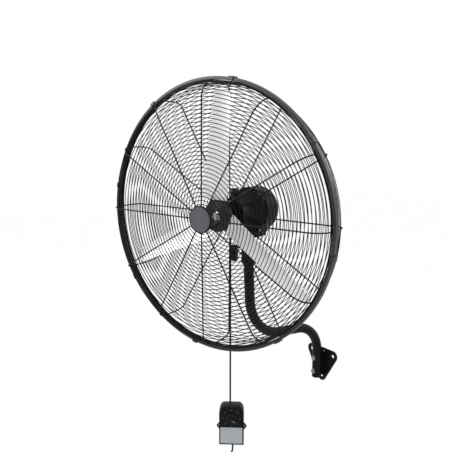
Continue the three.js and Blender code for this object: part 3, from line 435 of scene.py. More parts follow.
class Finish:
    """A material whose colour and roughness drift between two values with a noise, as it goes
    from calm to busy, and whose bump follows another."""
    CALM, BUSY, RELIEF = 0.35, 0.65, 0.5

    def __init__(self, name, metallic=0.0, specular=0.5, coat=0.0):
        self.material = bpy.data.materials.new(name)
        self.material.use_nodes = True
        self.tree = self.material.node_tree
        self.shader = self.tree.nodes["Principled BSDF"]
        self.shader.inputs["Metallic"].default_value = metallic
        self.shader.inputs["Specular IOR Level"].default_value = specular
        self.shader.inputs["Coat Weight"].default_value = coat

    def group(self, tree, **values):
        """A node of a shader group, with its inputs set by name."""
        node = self.tree.nodes.new("ShaderNodeGroup")
        node.node_tree = tree
        for name, value in values.items():
            node.inputs[name.replace("_", " ")].default_value = value
        return node

    def drift(self, source, low, high):
        """Roughness from low to high."""
        span = self.tree.nodes.new("ShaderNodeMapRange")
        for name, value in zip(("From Min", "From Max", "To Min", "To Max"),
                               (self.CALM, self.BUSY, low, high)):
            span.inputs[name].default_value = value
        self.tree.links.new(source, span.inputs["Value"])
        self.tree.links.new(span.outputs[0], self.shader.inputs["Roughness"])

    def blend(self, source, first, second):
        """Base colour from first to second."""
        ramp = self.tree.nodes.new("ShaderNodeValToRGB")
        for stop, at, colour in zip(ramp.color_ramp.elements, (self.CALM, self.BUSY),
                                    (first, second)):
            stop.position = at
            stop.color = (*colour, 1)
        self.tree.links.new(source, ramp.inputs[0])
        self.tree.links.new(ramp.outputs[0], self.shader.inputs["Base Color"])

    def bump(self, source, depth):
        """Bump of a given depth in metres."""
        bump = self.tree.nodes.new("ShaderNodeBump")
        bump.inputs["Strength"].default_value = self.RELIEF
        bump.inputs["Distance"].default_value = depth
        self.tree.links.new(source, bump.inputs["Height"])
        self.tree.links.new(bump.outputs[0], self.shader.inputs["Normal"])


def speckled(name, first, second, low, high, fine, broad, depth, **shine):
    """A painted, moulded or cast finish: broad drift of colour, fine grain in the surface."""
    finish = Finish(name, **shine)
    noise = finish.group(speckle, Fine_Size=fine, Broad_Size=broad)
    finish.blend(noise.outputs["Broad"], first, second)
    finish.drift(noise.outputs["Fine"], low, high)
    finish.bump(noise.outputs["Fine"], depth)
    return finish.material


cord_rubber = speckled("cord_rubber", (0.0035, 0.0035, 0.0035), (0.007, 0.007, 0.0075),
                       0.45, 0.62, 1400, 40, 0.00006, specular=0.25)

GLAND_ANGLE, GLAND_Y = math.radians(222), 0.022


def off_shell(radius):
    """A point straight out from the motor shell at the gland."""
    return [radius * math.cos(GLAND_ANGLE), GLAND_Y, radius * math.sin(GLAND_ANGLE)]


def cord_piece(name, route, count, hides, body):
    """A round cord through the route's points, in swivel axes."""
    path = smooth_path(on_swivel(np.array(route)), count)
    tube = ended(along(path, circle(CORD / 2, 14)))
    return skin(name, [tube], cord_rubber, body, "rubber", hides), path


# From the gland's mouth the lead follows the cubic curve (1-t)^3 a + 3(1-t)^2 t b +
# 3(1-t) t^2 c + t^3 d down to the tilt bolt's height
LEAD_END = -0.1024
mouth, out_from_mouth = np.array(off_shell(0.086)), np.array(off_shell(0.112))
lead_foot = np.array([CORD_X, 0, LEAD_END + 0.002])
t = np.linspace(0, 1, 9)[:, None]
lead_bend = ((1 - t) ** 3 * mouth + 3 * (1 - t) ** 2 * t * out_from_mouth
             + 3 * (1 - t) * t**2 * (lead_foot + [0, 0, 0.02]) + t**3 * lead_foot)
lead, lead_path = cord_piece(
    "lead_cord", [off_shell(0.0776), off_shell(0.0818), *lead_bend, [CORD_X, 0, LEAD_END]],
    30, ["motor_lead"], "tilt_head")

upper, upper_path = cord_piece(
    "upper_cord", [[CORD_X, 0, z] for z in (-0.1036, -0.2, -0.36, -0.52, -0.675, -0.703)],
    40, ["cord_upper"], "pan_head")

# Below the box the cord eases sideways, down into six turns wound round a ring. In the ring's
# section the turns lie on a small circle; each moves to the next place at its own angle, so
# that no two turns meet, and both ends leave from the outside of the ring.
LOWER_X = 0.004
COIL_SIDE = LOWER_X - COIL_RADIUS
ENTRY = 0.0312
TURNS = 6
places = np.roll(circle(CORD * 1.05, TURNS, -math.pi / 6)[::-1], 1, 0)
part = np.linspace(0, TURNS, 40 * TURNS + 1)
whole = np.minimum(part.astype(int), TURNS - 1)
ease = np.clip((part - whole - 0.9 + 0.13 * whole) / 0.12, 0, 1)
ease = (ease * ease * (3 - 2 * ease))[:, None]
offset = places[whole] * (1 - ease) + places[np.minimum(whole + 1, TURNS - 1)] * ease
ring_radius = COIL_RADIUS + offset[:, 0]
winding = np.stack([
    LOWER_X - ring_radius * np.cos(2 * math.pi * part), BOX_CORD_Y + offset[:, 1],
    COIL_CENTRE - ring_radius * np.sin(2 * math.pi * part),
], -1)
way_in, way_out = winding[0], winding[-1]
lower_route = smooth_path([
    [LOWER_X, BOX_CORD_Y, -0.135], [LOWER_X, BOX_CORD_Y, -0.158], [0.001, BOX_CORD_Y, -0.177],
    [-0.015, -0.0088, -0.198], [-0.032, -0.0105, -0.215], way_in + [0, 0, 0.023], way_in,
], 40)
tail_route = smooth_path([
    way_out, way_out - [0, 0, 0.012], [-0.0355, -0.0064, COIL_CENTRE - 0.03],
    [COIL_SIDE, BOX_CORD_Y, COIL_CENTRE - 0.048], [COIL_SIDE, BOX_CORD_Y, COIL_CENTRE - 0.0562],
], 20)
lower_path = on_box(np.concatenate([lower_route[:-1], winding, tail_route[1:]]))
lower = skin("lower_cord", [ended(along(lower_path, circle(CORD / 2, 12)))], cord_rubber,
             "pan_head", "rubber", ["cord_lower", "cord_coil", "cord_tail"])


# The tie is a plastic strap round the whole bundle; the plug is moulded rubber with three pins
def in_axes(axis, first, second, line):
    """Points whose line runs along the axis, with the other two values in the axes left."""
    return np.stack({"x": (line, first, second), "y": (first, line, second),
                     "z": (first, second, line)}[axis], -1)


def turned(profile, sides, place, centre=(0, 0, 0), axis="y", closed=False):
    """A profile of (radius, distance along the axis) turned about that axis through centre."""
    radius, along_axis = np.array(profile, float).T
    ring = circle(1.0, sides)
    wide = radius[:, None] * ring[:, 0], radius[:, None] * ring[:, 1]
    length = np.broadcast_to(along_axis[:, None], wide[0].shape)
    return place(in_axes(axis, *wide, length) + np.array(centre)), closed, True, False


def rounded(width, height, corner, centre=(0, 0), steps=5):
    """Outline of a rectangle with round corners, in two of the axes."""
    arc = np.linspace(0, math.pi / 2, steps + 1)
    points = []
    for k, (sx, sy) in enumerate([(1, 1), (-1, 1), (-1, -1), (1, -1)]):
        angle = arc + k * math.pi / 2
        points.append(np.stack([
            sx * (width / 2 - corner) + corner * np.cos(angle),
            sy * (height / 2 - corner) + corner * np.sin(angle),
        ], -1))
    return np.concatenate(points) + np.array(centre)


def arc_points(radius, start, end, count, x=0.0, z=0.0):
    """Points round part of a circle about (x, z)."""
    angle = np.linspace(start, end, count)
    return np.stack([x + radius * np.cos(angle), z + radius * np.sin(angle)], -1)


def mirrored(half):
    """Half an outline, then the same points in reverse with their second value's sign turned."""
    return np.concatenate([half, np.array(half)[::-1] * [1, -1]])


def inset(outline, distance):
    """The outline moved inwards along its own normals."""
    run = np.roll(outline, -1, 0) - np.roll(outline, 1, 0)
    run /= np.linalg.norm(run, axis=1)[:, None]
    return outline + distance * np.stack([-run[:, 1], run[:, 0]], -1)


def stacked(outline, levels, place, axis="y"):
    """An outline carried through levels of (distance along the axis, inset), closed at both
    ends. The outline lies in the other two axes and runs anticlockwise."""
    layers = []
    for at, inwards in levels:
        flat = inset(outline, inwards)
        layers.append(in_axes(axis, flat[:, 0], flat[:, 1], np.full(len(flat), at)))
    return ended(place(np.array(layers)))


def chamfered(outline, low, high, edge, place, axis="y"):
    """An outline carried from low to high along the axis, with both rims chamfered."""
    return stacked(outline, [(low, edge), (low + edge, 0), (high - edge, 0), (high, edge)],
                   place, axis)


def brick(x, y, z, edge, place, corner=None, axis="y"):
    """A block between two values along each axis, its edges rounded."""
    spans = {"x": (y, z, x), "y": (x, z, y), "z": (x, y, z)}[axis]
    outline = rounded(spans[0][1] - spans[0][0], spans[1][1] - spans[1][0], corner or edge,
                      (sum(spans[0]) / 2, sum(spans[1]) / 2))
    low, high = spans[2]
    return stacked(outline, [(low, edge), (low + edge * 0.3, edge * 0.3), (low + edge, 0),
                             (high - edge, 0), (high - edge * 0.3, edge * 0.3), (high, edge)],
                   place, axis)


moulded_black = speckled("moulded_black", (0.0035, 0.0035, 0.004), (0.0065, 0.0065, 0.0075),
                         0.34, 0.5, 900, 30, 0.00008, specular=0.14)
bright_pin = speckled("bright_pin", (0.62, 0.55, 0.4), (0.7, 0.63, 0.48), 0.2, 0.34,
                      700, 60, 0.00002, metallic=1.0)
tie_bore, tie_wall = 0.011, 0.0015
tie = skin("coil_tie", [turned(
    [(tie_bore, -0.007), (tie_bore + tie_wall, -0.0066), (tie_bore + tie_wall, 0.0066),
     (tie_bore, 0.007)], 40, on_box, (LOWER_X, BOX_CORD_Y, COIL_CENTRE + COIL_RADIUS), "x",
    closed=True)], moulded_black, "pan_head", "black_plastic", ["cord_tie"])

PLUG_TOP = COIL_CENTRE - ENTRY - 0.0253
plug_place = lambda points: on_box(np.asarray(points) + [COIL_SIDE, BOX_CORD_Y, PLUG_TOP])
ridges = [brick((-0.0124, 0.0124), (-0.0094, 0.0094), (at - 0.0025, at), 0.0009, plug_place,
                0.004, "z") for at in (-0.0135, -0.0185, -0.0235, -0.0285)]
plug = skin("mains_plug", [
    turned([(0, 0), (0.0046, 0), (0.005, -0.002), (0.0058, -0.004), (0.0072, -0.0075),
            (0, -0.0075)], 24, plug_place, axis="z"),
    brick((-0.012, 0.012), (-0.009, 0.009), (-0.036, -0.005), 0.0016, plug_place, 0.004, "z"),
    *ridges,
], cord_rubber, "pan_head", "rubber", ["plug"])
pins = skin("plug_pins", [
    *[brick(blade, (-0.0002, 0.0062), (-0.053, -0.035), 0.0004, plug_place, axis="z")
      for blade in ((-0.0071, -0.0056), (0.0056, 0.0071))],
    turned([(0, -0.035), (0.0024, -0.035), (0.0024, -0.0545), (0.0012, -0.056), (0, -0.056)],
           16, plug_place, (0, -0.0055, 0), "z"),
], bright_pin, "pan_head", "zinc")

for cord, path, ending, lay, pieces in (
    (lead, lead_path, "object", "hanging", []),
    (upper, upper_path, "object", "hanging", []),
    (lower, lower_path, "plug", "coiled", [plug, pins, tie]),
):
    length = float(np.linalg.norm(np.diff(path, axis=0), axis=1).sum())
    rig.cord(cord, exit=path[0], length=length, diameter=CORD, far_end=ending, lay=lay,
            path=path, with_pieces=pieces)


# ---- Wall plate ----
# A three-eared plate pressed from 5 mm steel, with a welded pad that takes the arm's two bolts.
# It is powder coated satin black, and screws through its ears hold it to the wall.
def flat_sheet(outline, holes, depth, edge, front, place):
    """Points and faces of a flat sheet drawn in x and z: the outline less its holes, depth
    thick behind y = front, its edges rounded by edge."""
    drawing = bpy.data.curves.new("drawing", "CURVE")
    drawing.dimensions = "2D"
    drawing.fill_mode = "BOTH"
    drawing.extrude = depth / 2 - edge
    drawing.bevel_depth = edge
    drawing.bevel_resolution = 2
    drawing.offset = -edge
    for loop in [outline, *holes]:
        spline = drawing.splines.new("POLY")
        spline.points.add(len(loop) - 1)
        corners = np.zeros((len(loop), 4))
        corners[:, :2] = loop
        corners[:, 3] = 1
        spline.points.foreach_set("co", corners.ravel())
        spline.use_cyclic_u = True
    holder = bpy.data.objects.new("drawing", drawing)
    bpy.context.scene.collection.objects.link(holder)
    graph = bpy.context.evaluated_depsgraph_get()
    mesh = bpy.data.meshes.new_from_object(holder.evaluated_get(graph))
    bpy.data.objects.remove(holder)
    points = np.zeros(len(mesh.vertices) * 3)
    mesh.vertices.foreach_get("co", points)
    x, y, z = points.reshape(-1, 3).T
    faces = [list(face.vertices) for face in mesh.polygons]
    return place(np.stack([x, front + depth / 2 - z, y], -1)), faces


def shell_piece(name, shells, finish, body, slot, hides=()):
    """One piece made of loose closed shells of (points, faces)."""
    points = np.concatenate([shell[0] for shell in shells])
    starts = np.cumsum([0] + [len(shell[0]) for shell in shells])
    faces = [[corner + start for corner in face]
             for (_, shell_faces), start in zip(shells, starts) for face in shell_faces]
    return piece_of(name, points, faces, finish, body, slot, hides)


black_paint = speckled("black_paint", (0.003, 0.003, 0.0034), (0.0055, 0.0055, 0.006),
                       0.36, 0.5, 620, 18, 0.00012, specular=0.09)
EARS = [(0.053, 0.037), (-0.053, 0.037), (0.0, -0.052)]
EAR_RADIUS = 0.02
plate_outline = []
for k, (x, z) in enumerate(EARS):
    before, after = EARS[k - 1], EARS[(k + 1) % 3]
    start = math.atan2(z - before[1], x - before[0]) - math.pi / 2
    end = math.atan2(after[1] - z, after[0] - x) - math.pi / 2
    end += 2 * math.pi * (end < start)
    plate_outline.append(arc_points(EAR_RADIUS, start, end, 20, x, z))
plate_holes = [circle(0.0065, 32) + ear for ear in np.array(EARS)]
plate_holes += [circle(0.003, 20) + [side * 0.01, 0.046] for side in (-1, 1)]
shell_piece("wall_plate_sheet", [
    flat_sheet(np.concatenate(plate_outline), plate_holes, 0.005, 0.0007, -0.005, on_wall),
], black_paint, "wall_arm", "black_paint", ["wall_plate"])
skin("wall_plate_pad", [
    brick((-0.013, 0.013), (-0.0138, -0.0045), (-0.047, 0.047), 0.0012, on_wall, 0.004),
], black_paint, "wall_arm", "black_paint")

zinc = speckled("zinc_plate", (0.2, 0.195, 0.17), (0.3, 0.295, 0.27), 0.32, 0.5,
                500, 90, 0.00005, metallic=1.0)


def hexagon(radius, turn, steps):
    """A hexagon's outline with each side in equal steps."""
    corners = circle(radius, 6, turn)
    return np.concatenate([np.linspace(a, b, steps, endpoint=False)
                           for a, b in zip(corners, np.roll(corners, -1, 0))])


def bolt_head(seat, centre, place, across, height, flange=0.0, axis="y", outward=-1):
    """A hexagon head, chamfered on top, over an optional round flange. seat is where it meets
    the work and outward the way the head stands."""
    patches = []
    foot = seat
    if flange:
        patches.append(turned([
            (0, seat), (flange, seat), (flange, seat + outward * 0.0008),
            (across * 0.55, seat + outward * 0.0018), (0, seat + outward * 0.0018),
        ], 32, place, centre, axis))
        foot = seat + outward * 0.0012
    crown = foot + outward * height
    flat_axes = {"x": [1, 2], "y": [0, 2], "z": [0, 1]}[axis]
    ring = hexagon(across / math.sqrt(3), 0.3, 4) + np.array(centre)[flat_axes]
    patches.append(stacked(ring, [(foot, 0), (crown - outward * 0.0008, 0),
                                  (crown, across * 0.07)], place, axis))
    return patches


for part, z in (("upper", 0.025), ("lower", -0.025)):
    fitted(f"arm_bolt_{part}", [
        *bolt_head(-0.048, (0, 0, z), on_wall, 0.013, 0.0053, 0.009),
        turned([(0, -0.0485), (0.004, -0.0485), (0.004, -0.0005), (0, -0.0005)], 20, on_wall,
               (0, 0, z)),
    ], zinc, "wall_arm", "zinc")


# ---- Arm tube ----
# One length of 33 mm steel pipe, bent twice: out from the wall, level, and up to the swivel.
# It is powder coated with the plate, and its lower end is closed by a plastic cap.
TUBE = 0.0167
TUBE_BACK = -0.031
REAR_BEND, FRONT_BEND = 0.11, 0.148
POST_Y, POST_FOOT = -0.361, 0.426
slope, lean = math.radians(4), math.radians(3)
rear = arc_points(REAR_BEND, 0, math.pi / 2 - slope, 28, TUBE_BACK - REAR_BEND, 0.049)
end_y, end_z = rear[-1]
across = -POST_Y + end_y - FRONT_BEND * (math.cos(lean) - math.sin(slope))
rise = POST_FOOT - end_z - FRONT_BEND * (math.cos(slope) - math.sin(lean))
level = (across - rise * math.tan(lean)) / (math.cos(slope) - math.sin(slope) * math.tan(lean))
front = arc_points(
    FRONT_BEND, math.radians(270) - slope, math.pi + lean, 32,
    end_y - level * math.cos(slope) + FRONT_BEND * math.sin(slope),
    end_z + level * math.sin(slope) + FRONT_BEND * math.cos(slope))
arm_line = np.concatenate([[[TUBE_BACK, -0.048], [TUBE_BACK, 0.0]], rear, front,
                           [[POST_Y, POST_FOOT], [POST_Y, 0.4765]]])
arm_path = np.column_stack([np.zeros(len(arm_line)), arm_line])
skin("arm_pipe", [ended(along(arm_path, circle(TUBE, 48)))], black_paint, "wall_arm",
     "black_paint", ["arm_tube"])
skin("arm_pipe_cap", [turned([
    (0, -0.0506), (0.015, -0.0506), (0.0164, -0.05), (0.0167, -0.049), (0.0167, -0.0483),
    (0.013, -0.0483), (0.013, -0.041), (0, -0.041)], 48, on_wall, (0, TUBE_BACK, 0), "z")],
    moulded_black, "wall_arm", "black_plastic", ["arm_end_cap"])


# ---- Swivel yoke ----
# An iron casting that drops over the top of the pipe and turns on it; a lock screw at the back
# holds it. Its two cheeks carry the tilt bolt, and its side lug carries the capacitor.
cast_black = speckled("cast_black", (0.0035, 0.0035, 0.004), (0.007, 0.007, 0.008),
                      0.42, 0.6, 330, 14, 0.00035, specular=0.12)
TILT = -0.103
YOKE_FLOOR = -0.122
SOCKET_END = -0.175
LOCK_Z = YOKE_FLOOR - 0.028
yoke_patches = [turned([
    (0, YOKE_FLOOR), (0.0205, YOKE_FLOOR), (0.0228, YOKE_FLOOR - 0.0012),
    (0.0238, YOKE_FLOOR - 0.0036), (0.0238, YOKE_FLOOR - 0.03), (0.0243, YOKE_FLOOR - 0.0316),
    (0.0243, SOCKET_END + 0.004), (0.0236, SOCKET_END + 0.0012), (0.0222, SOCKET_END),
    (0.0173, SOCKET_END), (0.0173, YOKE_FLOOR - 0.007), (0, YOKE_FLOOR - 0.007)],
    56, on_swivel, axis="z")]
for side in (-1, 1):
    inner, outer = sorted((side * 0.012, side * 0.018))
    cheek = np.concatenate([
        arc_points(0.015, 0, math.pi, 22, z=TILT),
        [[-0.015, YOKE_FLOOR - 0.001], [0.015, YOKE_FLOOR - 0.001]],
    ])
    yoke_patches.append(chamfered(cheek, inner, outer, 0.001, on_swivel, "x"))
    yoke_patches.append(turned([
        (0.0054, side * 0.0175), (0.0098, side * 0.0175), (0.0098, side * 0.0181),
        (0.0054, side * 0.0181)], 28, on_swivel, (0, 0, TILT), "x", closed=True))
yoke_patches.append(brick((-0.0665, -0.016), (-0.009, 0.009),
                          (YOKE_FLOOR - 0.007, YOKE_FLOOR), 0.0014, on_swivel, 0.004, "z"))
yoke_patches.append(turned([
    (0.0043, 0.018), (0.008, 0.018), (0.008, 0.0305), (0.0074, 0.0318), (0.0043, 0.0318)],
    28, on_swivel, (0, 0, LOCK_Z), closed=True))
skin("swivel_yoke_casting", yoke_patches, cast_black, "pan_head", "cast_black",
     ["swivel_yoke"])

LOBES = 8
knob_angle = np.linspace(0, 2 * math.pi, 64, endpoint=False)
grip_radius = 0.0102 + 0.0009 * np.cos(LOBES * knob_angle)
grip_outline = np.stack([grip_radius * np.cos(knob_angle),
                         grip_radius * np.sin(knob_angle) + LOCK_Z], -1)
skin("swivel_lock_knob", [
    stacked(grip_outline, [(0.0322, 0.001), (0.033, 0), (0.043, 0), (0.0443, 0.0014)],
            on_swivel),
    turned([(0, 0.018), (0.004, 0.018), (0.004, 0.033), (0, 0.033)], 20, on_swivel,
           (0, 0, LOCK_Z)),
], moulded_black, "pan_head", "black_plastic", ["swivel_lock_screw"])

fitted("tilt_bolt", [
    *bolt_head(-0.0183, (0, 0, TILT), on_swivel, 0.0165, 0.006, axis="x"),
    turned([(0, -0.0186), (0.005, -0.0186), (0.005, 0.0325), (0.0042, 0.0333), (0, 0.0333)],
           28, on_swivel, (0, 0, TILT), "x"),
], zinc, "pan_head", "zinc")

# The wing nut: two flat wings grow out of a round hub, nearly level
wing_turn = math.radians(80)


def on_wing(points):
    """Wing nut axes: z along the wings, turned about the tilt bolt."""
    x, y, z = np.moveaxis(np.asarray(points, float), -1, 0)
    c, s = math.cos(wing_turn), math.sin(wing_turn)
    return on_swivel(np.stack([x, y * c - z * s, TILT + y * s + z * c], -1))


reach = np.linspace(-1, 1, 25)
wing_line = np.stack([0.0258 + 0.0045 * np.abs(reach), 0 * reach, 0.0236 * reach], -1)
wing_half = np.stack([0.0038 + 0.0022 * np.sin(np.abs(reach) * math.pi * 0.8),
                      0.002 - 0.0004 * np.abs(reach)], -1)
wing_round = np.sqrt(np.clip(1 - np.abs(reach) ** 8, 0.02, 1))[:, None]
oval = circle(1.0, 16)
wing_section = oval[None] * (wing_half * wing_round)[:, None]
fitted("tilt_wing_nut", [
    ended(on_wing(wing_line[:, None] + np.stack([
        wing_section[..., 0], wing_section[..., 1], 0 * wing_section[..., 0]], -1))),
    turned([(0.0053, 0.0183), (0.009, 0.0183), (0.0088, 0.024), (0.0072, 0.0295),
            (0.0066, 0.0303), (0.0053, 0.0303)], 32, on_wing, axis="x", closed=True),
], cast_black, "pan_head", "cast_black")


# ---- Capacitor case and cord clip ----
# The motor's run capacitor sits in a moulded case screwed up under the yoke's side lug. A clip
# on the case's side keeps the cord straight down beside it.
CASE_X = -0.0575
CASE_TOP = YOKE_FLOOR - 0.0073
skin("capacitor_case", [
    brick((CASE_X - 0.009, CASE_X + 0.009), (-0.01, 0.01), (CASE_TOP - 0.046, CASE_TOP),
          0.0018, on_swivel, 0.0032, "z"),
    brick((CASE_X - 0.0093, CASE_X + 0.0093), (-0.0103, 0.0103),
          (CASE_TOP - 0.009, CASE_TOP - 0.0065), 0.0006, on_swivel, 0.0034, "z"),
], moulded_black, "pan_head", "black_plastic", ["capacitor"])
clip_ring = [(0.0034, -0.005), (0.0058, -0.005), (0.0061, -0.004), (0.0061, 0.004),
             (0.0058, 0.005), (0.0034, 0.005)]
CLIP_Z = CASE_TOP - 0.015
fitted("cord_clip", [
    turned(clip_ring, 32, on_swivel, (CORD_X, 0, CLIP_Z), "z", closed=True),
    brick((CORD_X + 0.004, CASE_X - 0.0093), (-0.0052, 0.0052), (CLIP_Z - 0.005, CLIP_Z + 0.005),
          0.0008, on_swivel, axis="x"),
], moulded_black, "pan_head", "black_plastic")


def pan_head_screw(seat, centre, place, radius, height, axis="y", outward=-1):
    """A domed screw head."""
    crown = [(0, seat + outward * height)]
    for share in (0.35, 0.65, 0.88, 1.0):
        crown.append((radius * share, seat + outward * height * math.sqrt(1.06 - share**2)))
    return [turned([*crown, (radius, seat), (0, seat)], 28, place, centre, axis)]


fitted("capacitor_screw", pan_head_screw(
    YOKE_FLOOR + 0.0003, (CASE_X, 0, 0), on_swivel, 0.004, 0.0026, "z", 1), zinc, "pan_head",
    "zinc")


# ---- Motor foot ----
# A cast saddle bolted to the underside of the motor, with a tongue that hangs between the
# yoke's cheeks and turns on the tilt bolt.
MOTOR = 0.074
FOOT_BOTTOM = -MOTOR - 0.012
saddle_half, saddle_top = 0.032, MOTOR + 0.0003
half_turn = math.asin(saddle_half / saddle_top)
saddle = np.concatenate([
    arc_points(saddle_top, math.radians(270) - half_turn, math.radians(270) + half_turn,
               24)[::-1],
    [[-saddle_half, FOOT_BOTTOM], [saddle_half, FOOT_BOTTOM]],
])
tongue = np.concatenate([
    arc_points(0.014, math.pi, 2 * math.pi, 22, z=TILT),
    [[0.014, FOOT_BOTTOM + 0.001], [-0.014, FOOT_BOTTOM + 0.001]],
])
skin("motor_foot_casting", [
    chamfered(saddle, -0.014, 0.054, 0.0008, on_swivel),
    chamfered(tongue, -0.0117, 0.0117, 0.0008, on_swivel, "x"),
], cast_black, "tilt_head", "cast_black", ["motor_foot"])
for part, x in (("left", -0.021), ("right", 0.021)):
    fitted(f"foot_screw_{part}", bolt_head(
        FOOT_BOTTOM - 0.0003, (x, 0.038, 0), on_swivel, 0.009, 0.004, axis="z"), zinc,
        "tilt_head", "zinc")


# ---- Motor ----
# The front shield is one casting: a boss for the guard, a neck, and a square flange with four
# lugs. The drawn steel shell behind it is closed by a domed end, and four bolts clamp the two.
def swung(line, turn):
    """Points of (radius, depth) at an angle round the head's axis."""
    radius, depth = np.asarray(line, float).T
    return np.stack([radius * math.cos(turn), depth, radius * math.sin(turn)], -1)


NECK_START = 0.0838
shield_profile = [
    (0.0086, 0.066), (0.0305, 0.066), (0.0324, 0.0668), (0.033, 0.0682), (0.033, NECK_START),
    (0.042, NECK_START), (0.043, NECK_START + 0.001), (0.043, NECK_START + 0.0055),
    (0.0422, NECK_START + 0.0068), (0.0395, NECK_START + 0.0095),
    (0.0383, NECK_START + 0.013), (0.038, 0.1), (0.038, 0.144), (0.0386, 0.148),
    (0.0405, 0.1515), (0.056, 0.162), (0.062, 0.1662), (0.062, 0.1795), (0.058, 0.1795),
    (0.058, 0.1692), (0.0178, 0.1652), (0.0178, 0.152), (0.0086, 0.152),
]
flange = rounded(0.124, 0.124, 0.01, steps=7)
LUGS = [(0.057, 0.057), (-0.057, 0.057), (-0.057, -0.057), (0.057, -0.057)]
shield_patches = [turned(shield_profile, 72, on_head, closed=True)]
# The square outline starts level with the bore's, so that their points pair up
inner_ring = circle(0.0575, len(flange))
start_corner = np.argmin(np.abs(np.arctan2(flange[:, 1], flange[:, 0])))
outer_ring = np.roll(flange, -start_corner, 0)
flange_layers = [(0.1653, outer_ring * 0.985), (0.1662, outer_ring), (0.1792, outer_ring),
                 (0.18, outer_ring * 0.99), (0.18, inner_ring), (0.1653, inner_ring)]
flange_grid = np.array([np.column_stack([ring[:, 0], np.full(len(ring), y), ring[:, 1]])
                        for y, ring in flange_layers])
shield_patches.append((on_head(flange_grid), True, True, False))
for x, z in LUGS:
    shield_patches.append(turned([
        (0.0031, 0.165), (0.0092, 0.165), (0.01, 0.1658), (0.01, 0.18), (0.0031, 0.18)],
        30, on_head, (x, 0, z), closed=True))
rib_line = [(0.0385, 0.112), (0.0445, 0.138), (0.062, 0.158), (0.071, 0.166)]
for k in range(4):
    rib_path = smooth_path(swung(rib_line, math.radians(45 + 90 * k)), 24)
    shield_patches.append(ended(on_head(along(rib_path, rounded(0.006, 0.007, 0.002)))))
skin("motor_shield_casting", shield_patches, cast_black, "tilt_head", "cast_black",
     ["motor_front_shield"])

dome = np.linspace(0, math.pi / 2, 18)[1:]
shell_profile = [
    (0.06, 0.1803), (0.0735, 0.1803), (0.074, 0.1808), (0.074, 0.185), (0.0736, 0.1854),
    (0.0736, 0.229), (0.074, 0.2294), (0.074, 0.2363),
    *[(0.074 * max(math.cos(a), 0.0) ** 0.8, 0.2363 + 0.032 * math.sin(a)) for a in dome],
    (0, 0.2648), (0.05, 0.26), (0.0705, 0.2363), (0.0705, 0.1825), (0.06, 0.1825),
]
shell_patches = [turned(shell_profile, 96, on_head, closed=True)]
web = [(0.068, 0.1805), (0.068, 0.194), (0.0765, 0.194), (0.0765, 0.1805)]
web_widths = np.array([-0.0095, -0.0088, 0.0088, 0.0095])
for x, z in LUGS:
    shell_patches.append(turned([
        (0.0031, 0.1803), (0.0099, 0.1803), (0.0099, 0.1925), (0.009, 0.1943),
        (0.0031, 0.1943)], 30, on_head, (x, 0, z), closed=True))
    direction = math.atan2(z, x)
    corners = swung(web, direction)
    sideways = np.array([-math.sin(direction), 0, math.cos(direction)])
    grid = corners[None] + web_widths[:, None, None] * sideways
    shell_patches.append(ended(on_head(grid)))
skin("motor_shell_drawn", shell_patches, black_paint, "tilt_head", "cast_black",
     ["motor_rear_shell"])
for k, (x, z) in enumerate(LUGS):
    fitted(f"motor_bolt_{k + 1}", [
        *bolt_head(0.1647, (x, 0, z), on_head, 0.009, 0.0038),
        turned([(0, 0.164), (0.0026, 0.164), (0.0026, 0.19), (0, 0.19)], 14, on_head,
               (x, 0, z)),
    ], zinc, "tilt_head", "zinc")


def on_gland(points):
    """Gland axes: z out from the motor's shell, at the cord's place."""
    x, y, z = np.moveaxis(np.asarray(points, float), -1, 0)
    c, s = math.cos(GLAND_ANGLE), math.sin(GLAND_ANGLE)
    return on_swivel(np.stack([z * c + x * s, y + GLAND_Y, z * s - x * c], -1))


gland_profile = [(0.0034, 0.0775), (0.0034, 0.0883), (0.0045, 0.0883)]
for k in range(4):
    ring_at = 0.0868 - 0.0026 * k
    wide = 0.0048 + 0.00042 * k
    gland_profile += [(wide + 0.0004, ring_at), (wide + 0.0004, ring_at - 0.0014),
                      (wide, ring_at - 0.0018)]
gland_profile += [(0.0064, 0.0752), (0.0064, 0.0743), (0.0034, 0.0743)]
fitted("motor_gland", [turned(gland_profile, 32, on_gland, axis="z", closed=True)],
       cord_rubber, "tilt_head", "rubber")


# ---- Guards ----
# Each guard is spot welded from steel wire: twelve 4 mm spokes bent back at the edge, and rings
# of 2.5 mm wire about 12 mm apart. The rear one is screwed to the motor's boss by a plate.
EDGE_WIRE = 0.39535
EDGE_DEPTH = 0.0065
SPOKE, WIRE = 0.002, 0.00125
RING_PITCH = 0.0118


def guard_line(start, centre, edge, shoulder, reach, drop, side):
    """The middle line of a spoke in (radius, depth): straight to the shoulder, then the cubic
    curve (1-t)^3 a + 3(1-t)^2 t b + 3(1-t) t^2 c + t^3 d to the edge wire."""
    t = np.linspace(0, 1, 26)[:, None]
    a, b = np.array([shoulder, edge]), np.array([EDGE_WIRE - reach, edge - 0.4 * reach])
    c, d = np.array([EDGE_WIRE, edge - drop]), np.array([EDGE_WIRE, EDGE_DEPTH])
    bend = (1 - t) ** 3 * a + 3 * (1 - t) ** 2 * t * b + 3 * (1 - t) * t * t * c + t**3 * d
    flat = np.linspace([start, centre], a, 12)[:-1]
    return np.concatenate([flat, bend]) * [1, side]


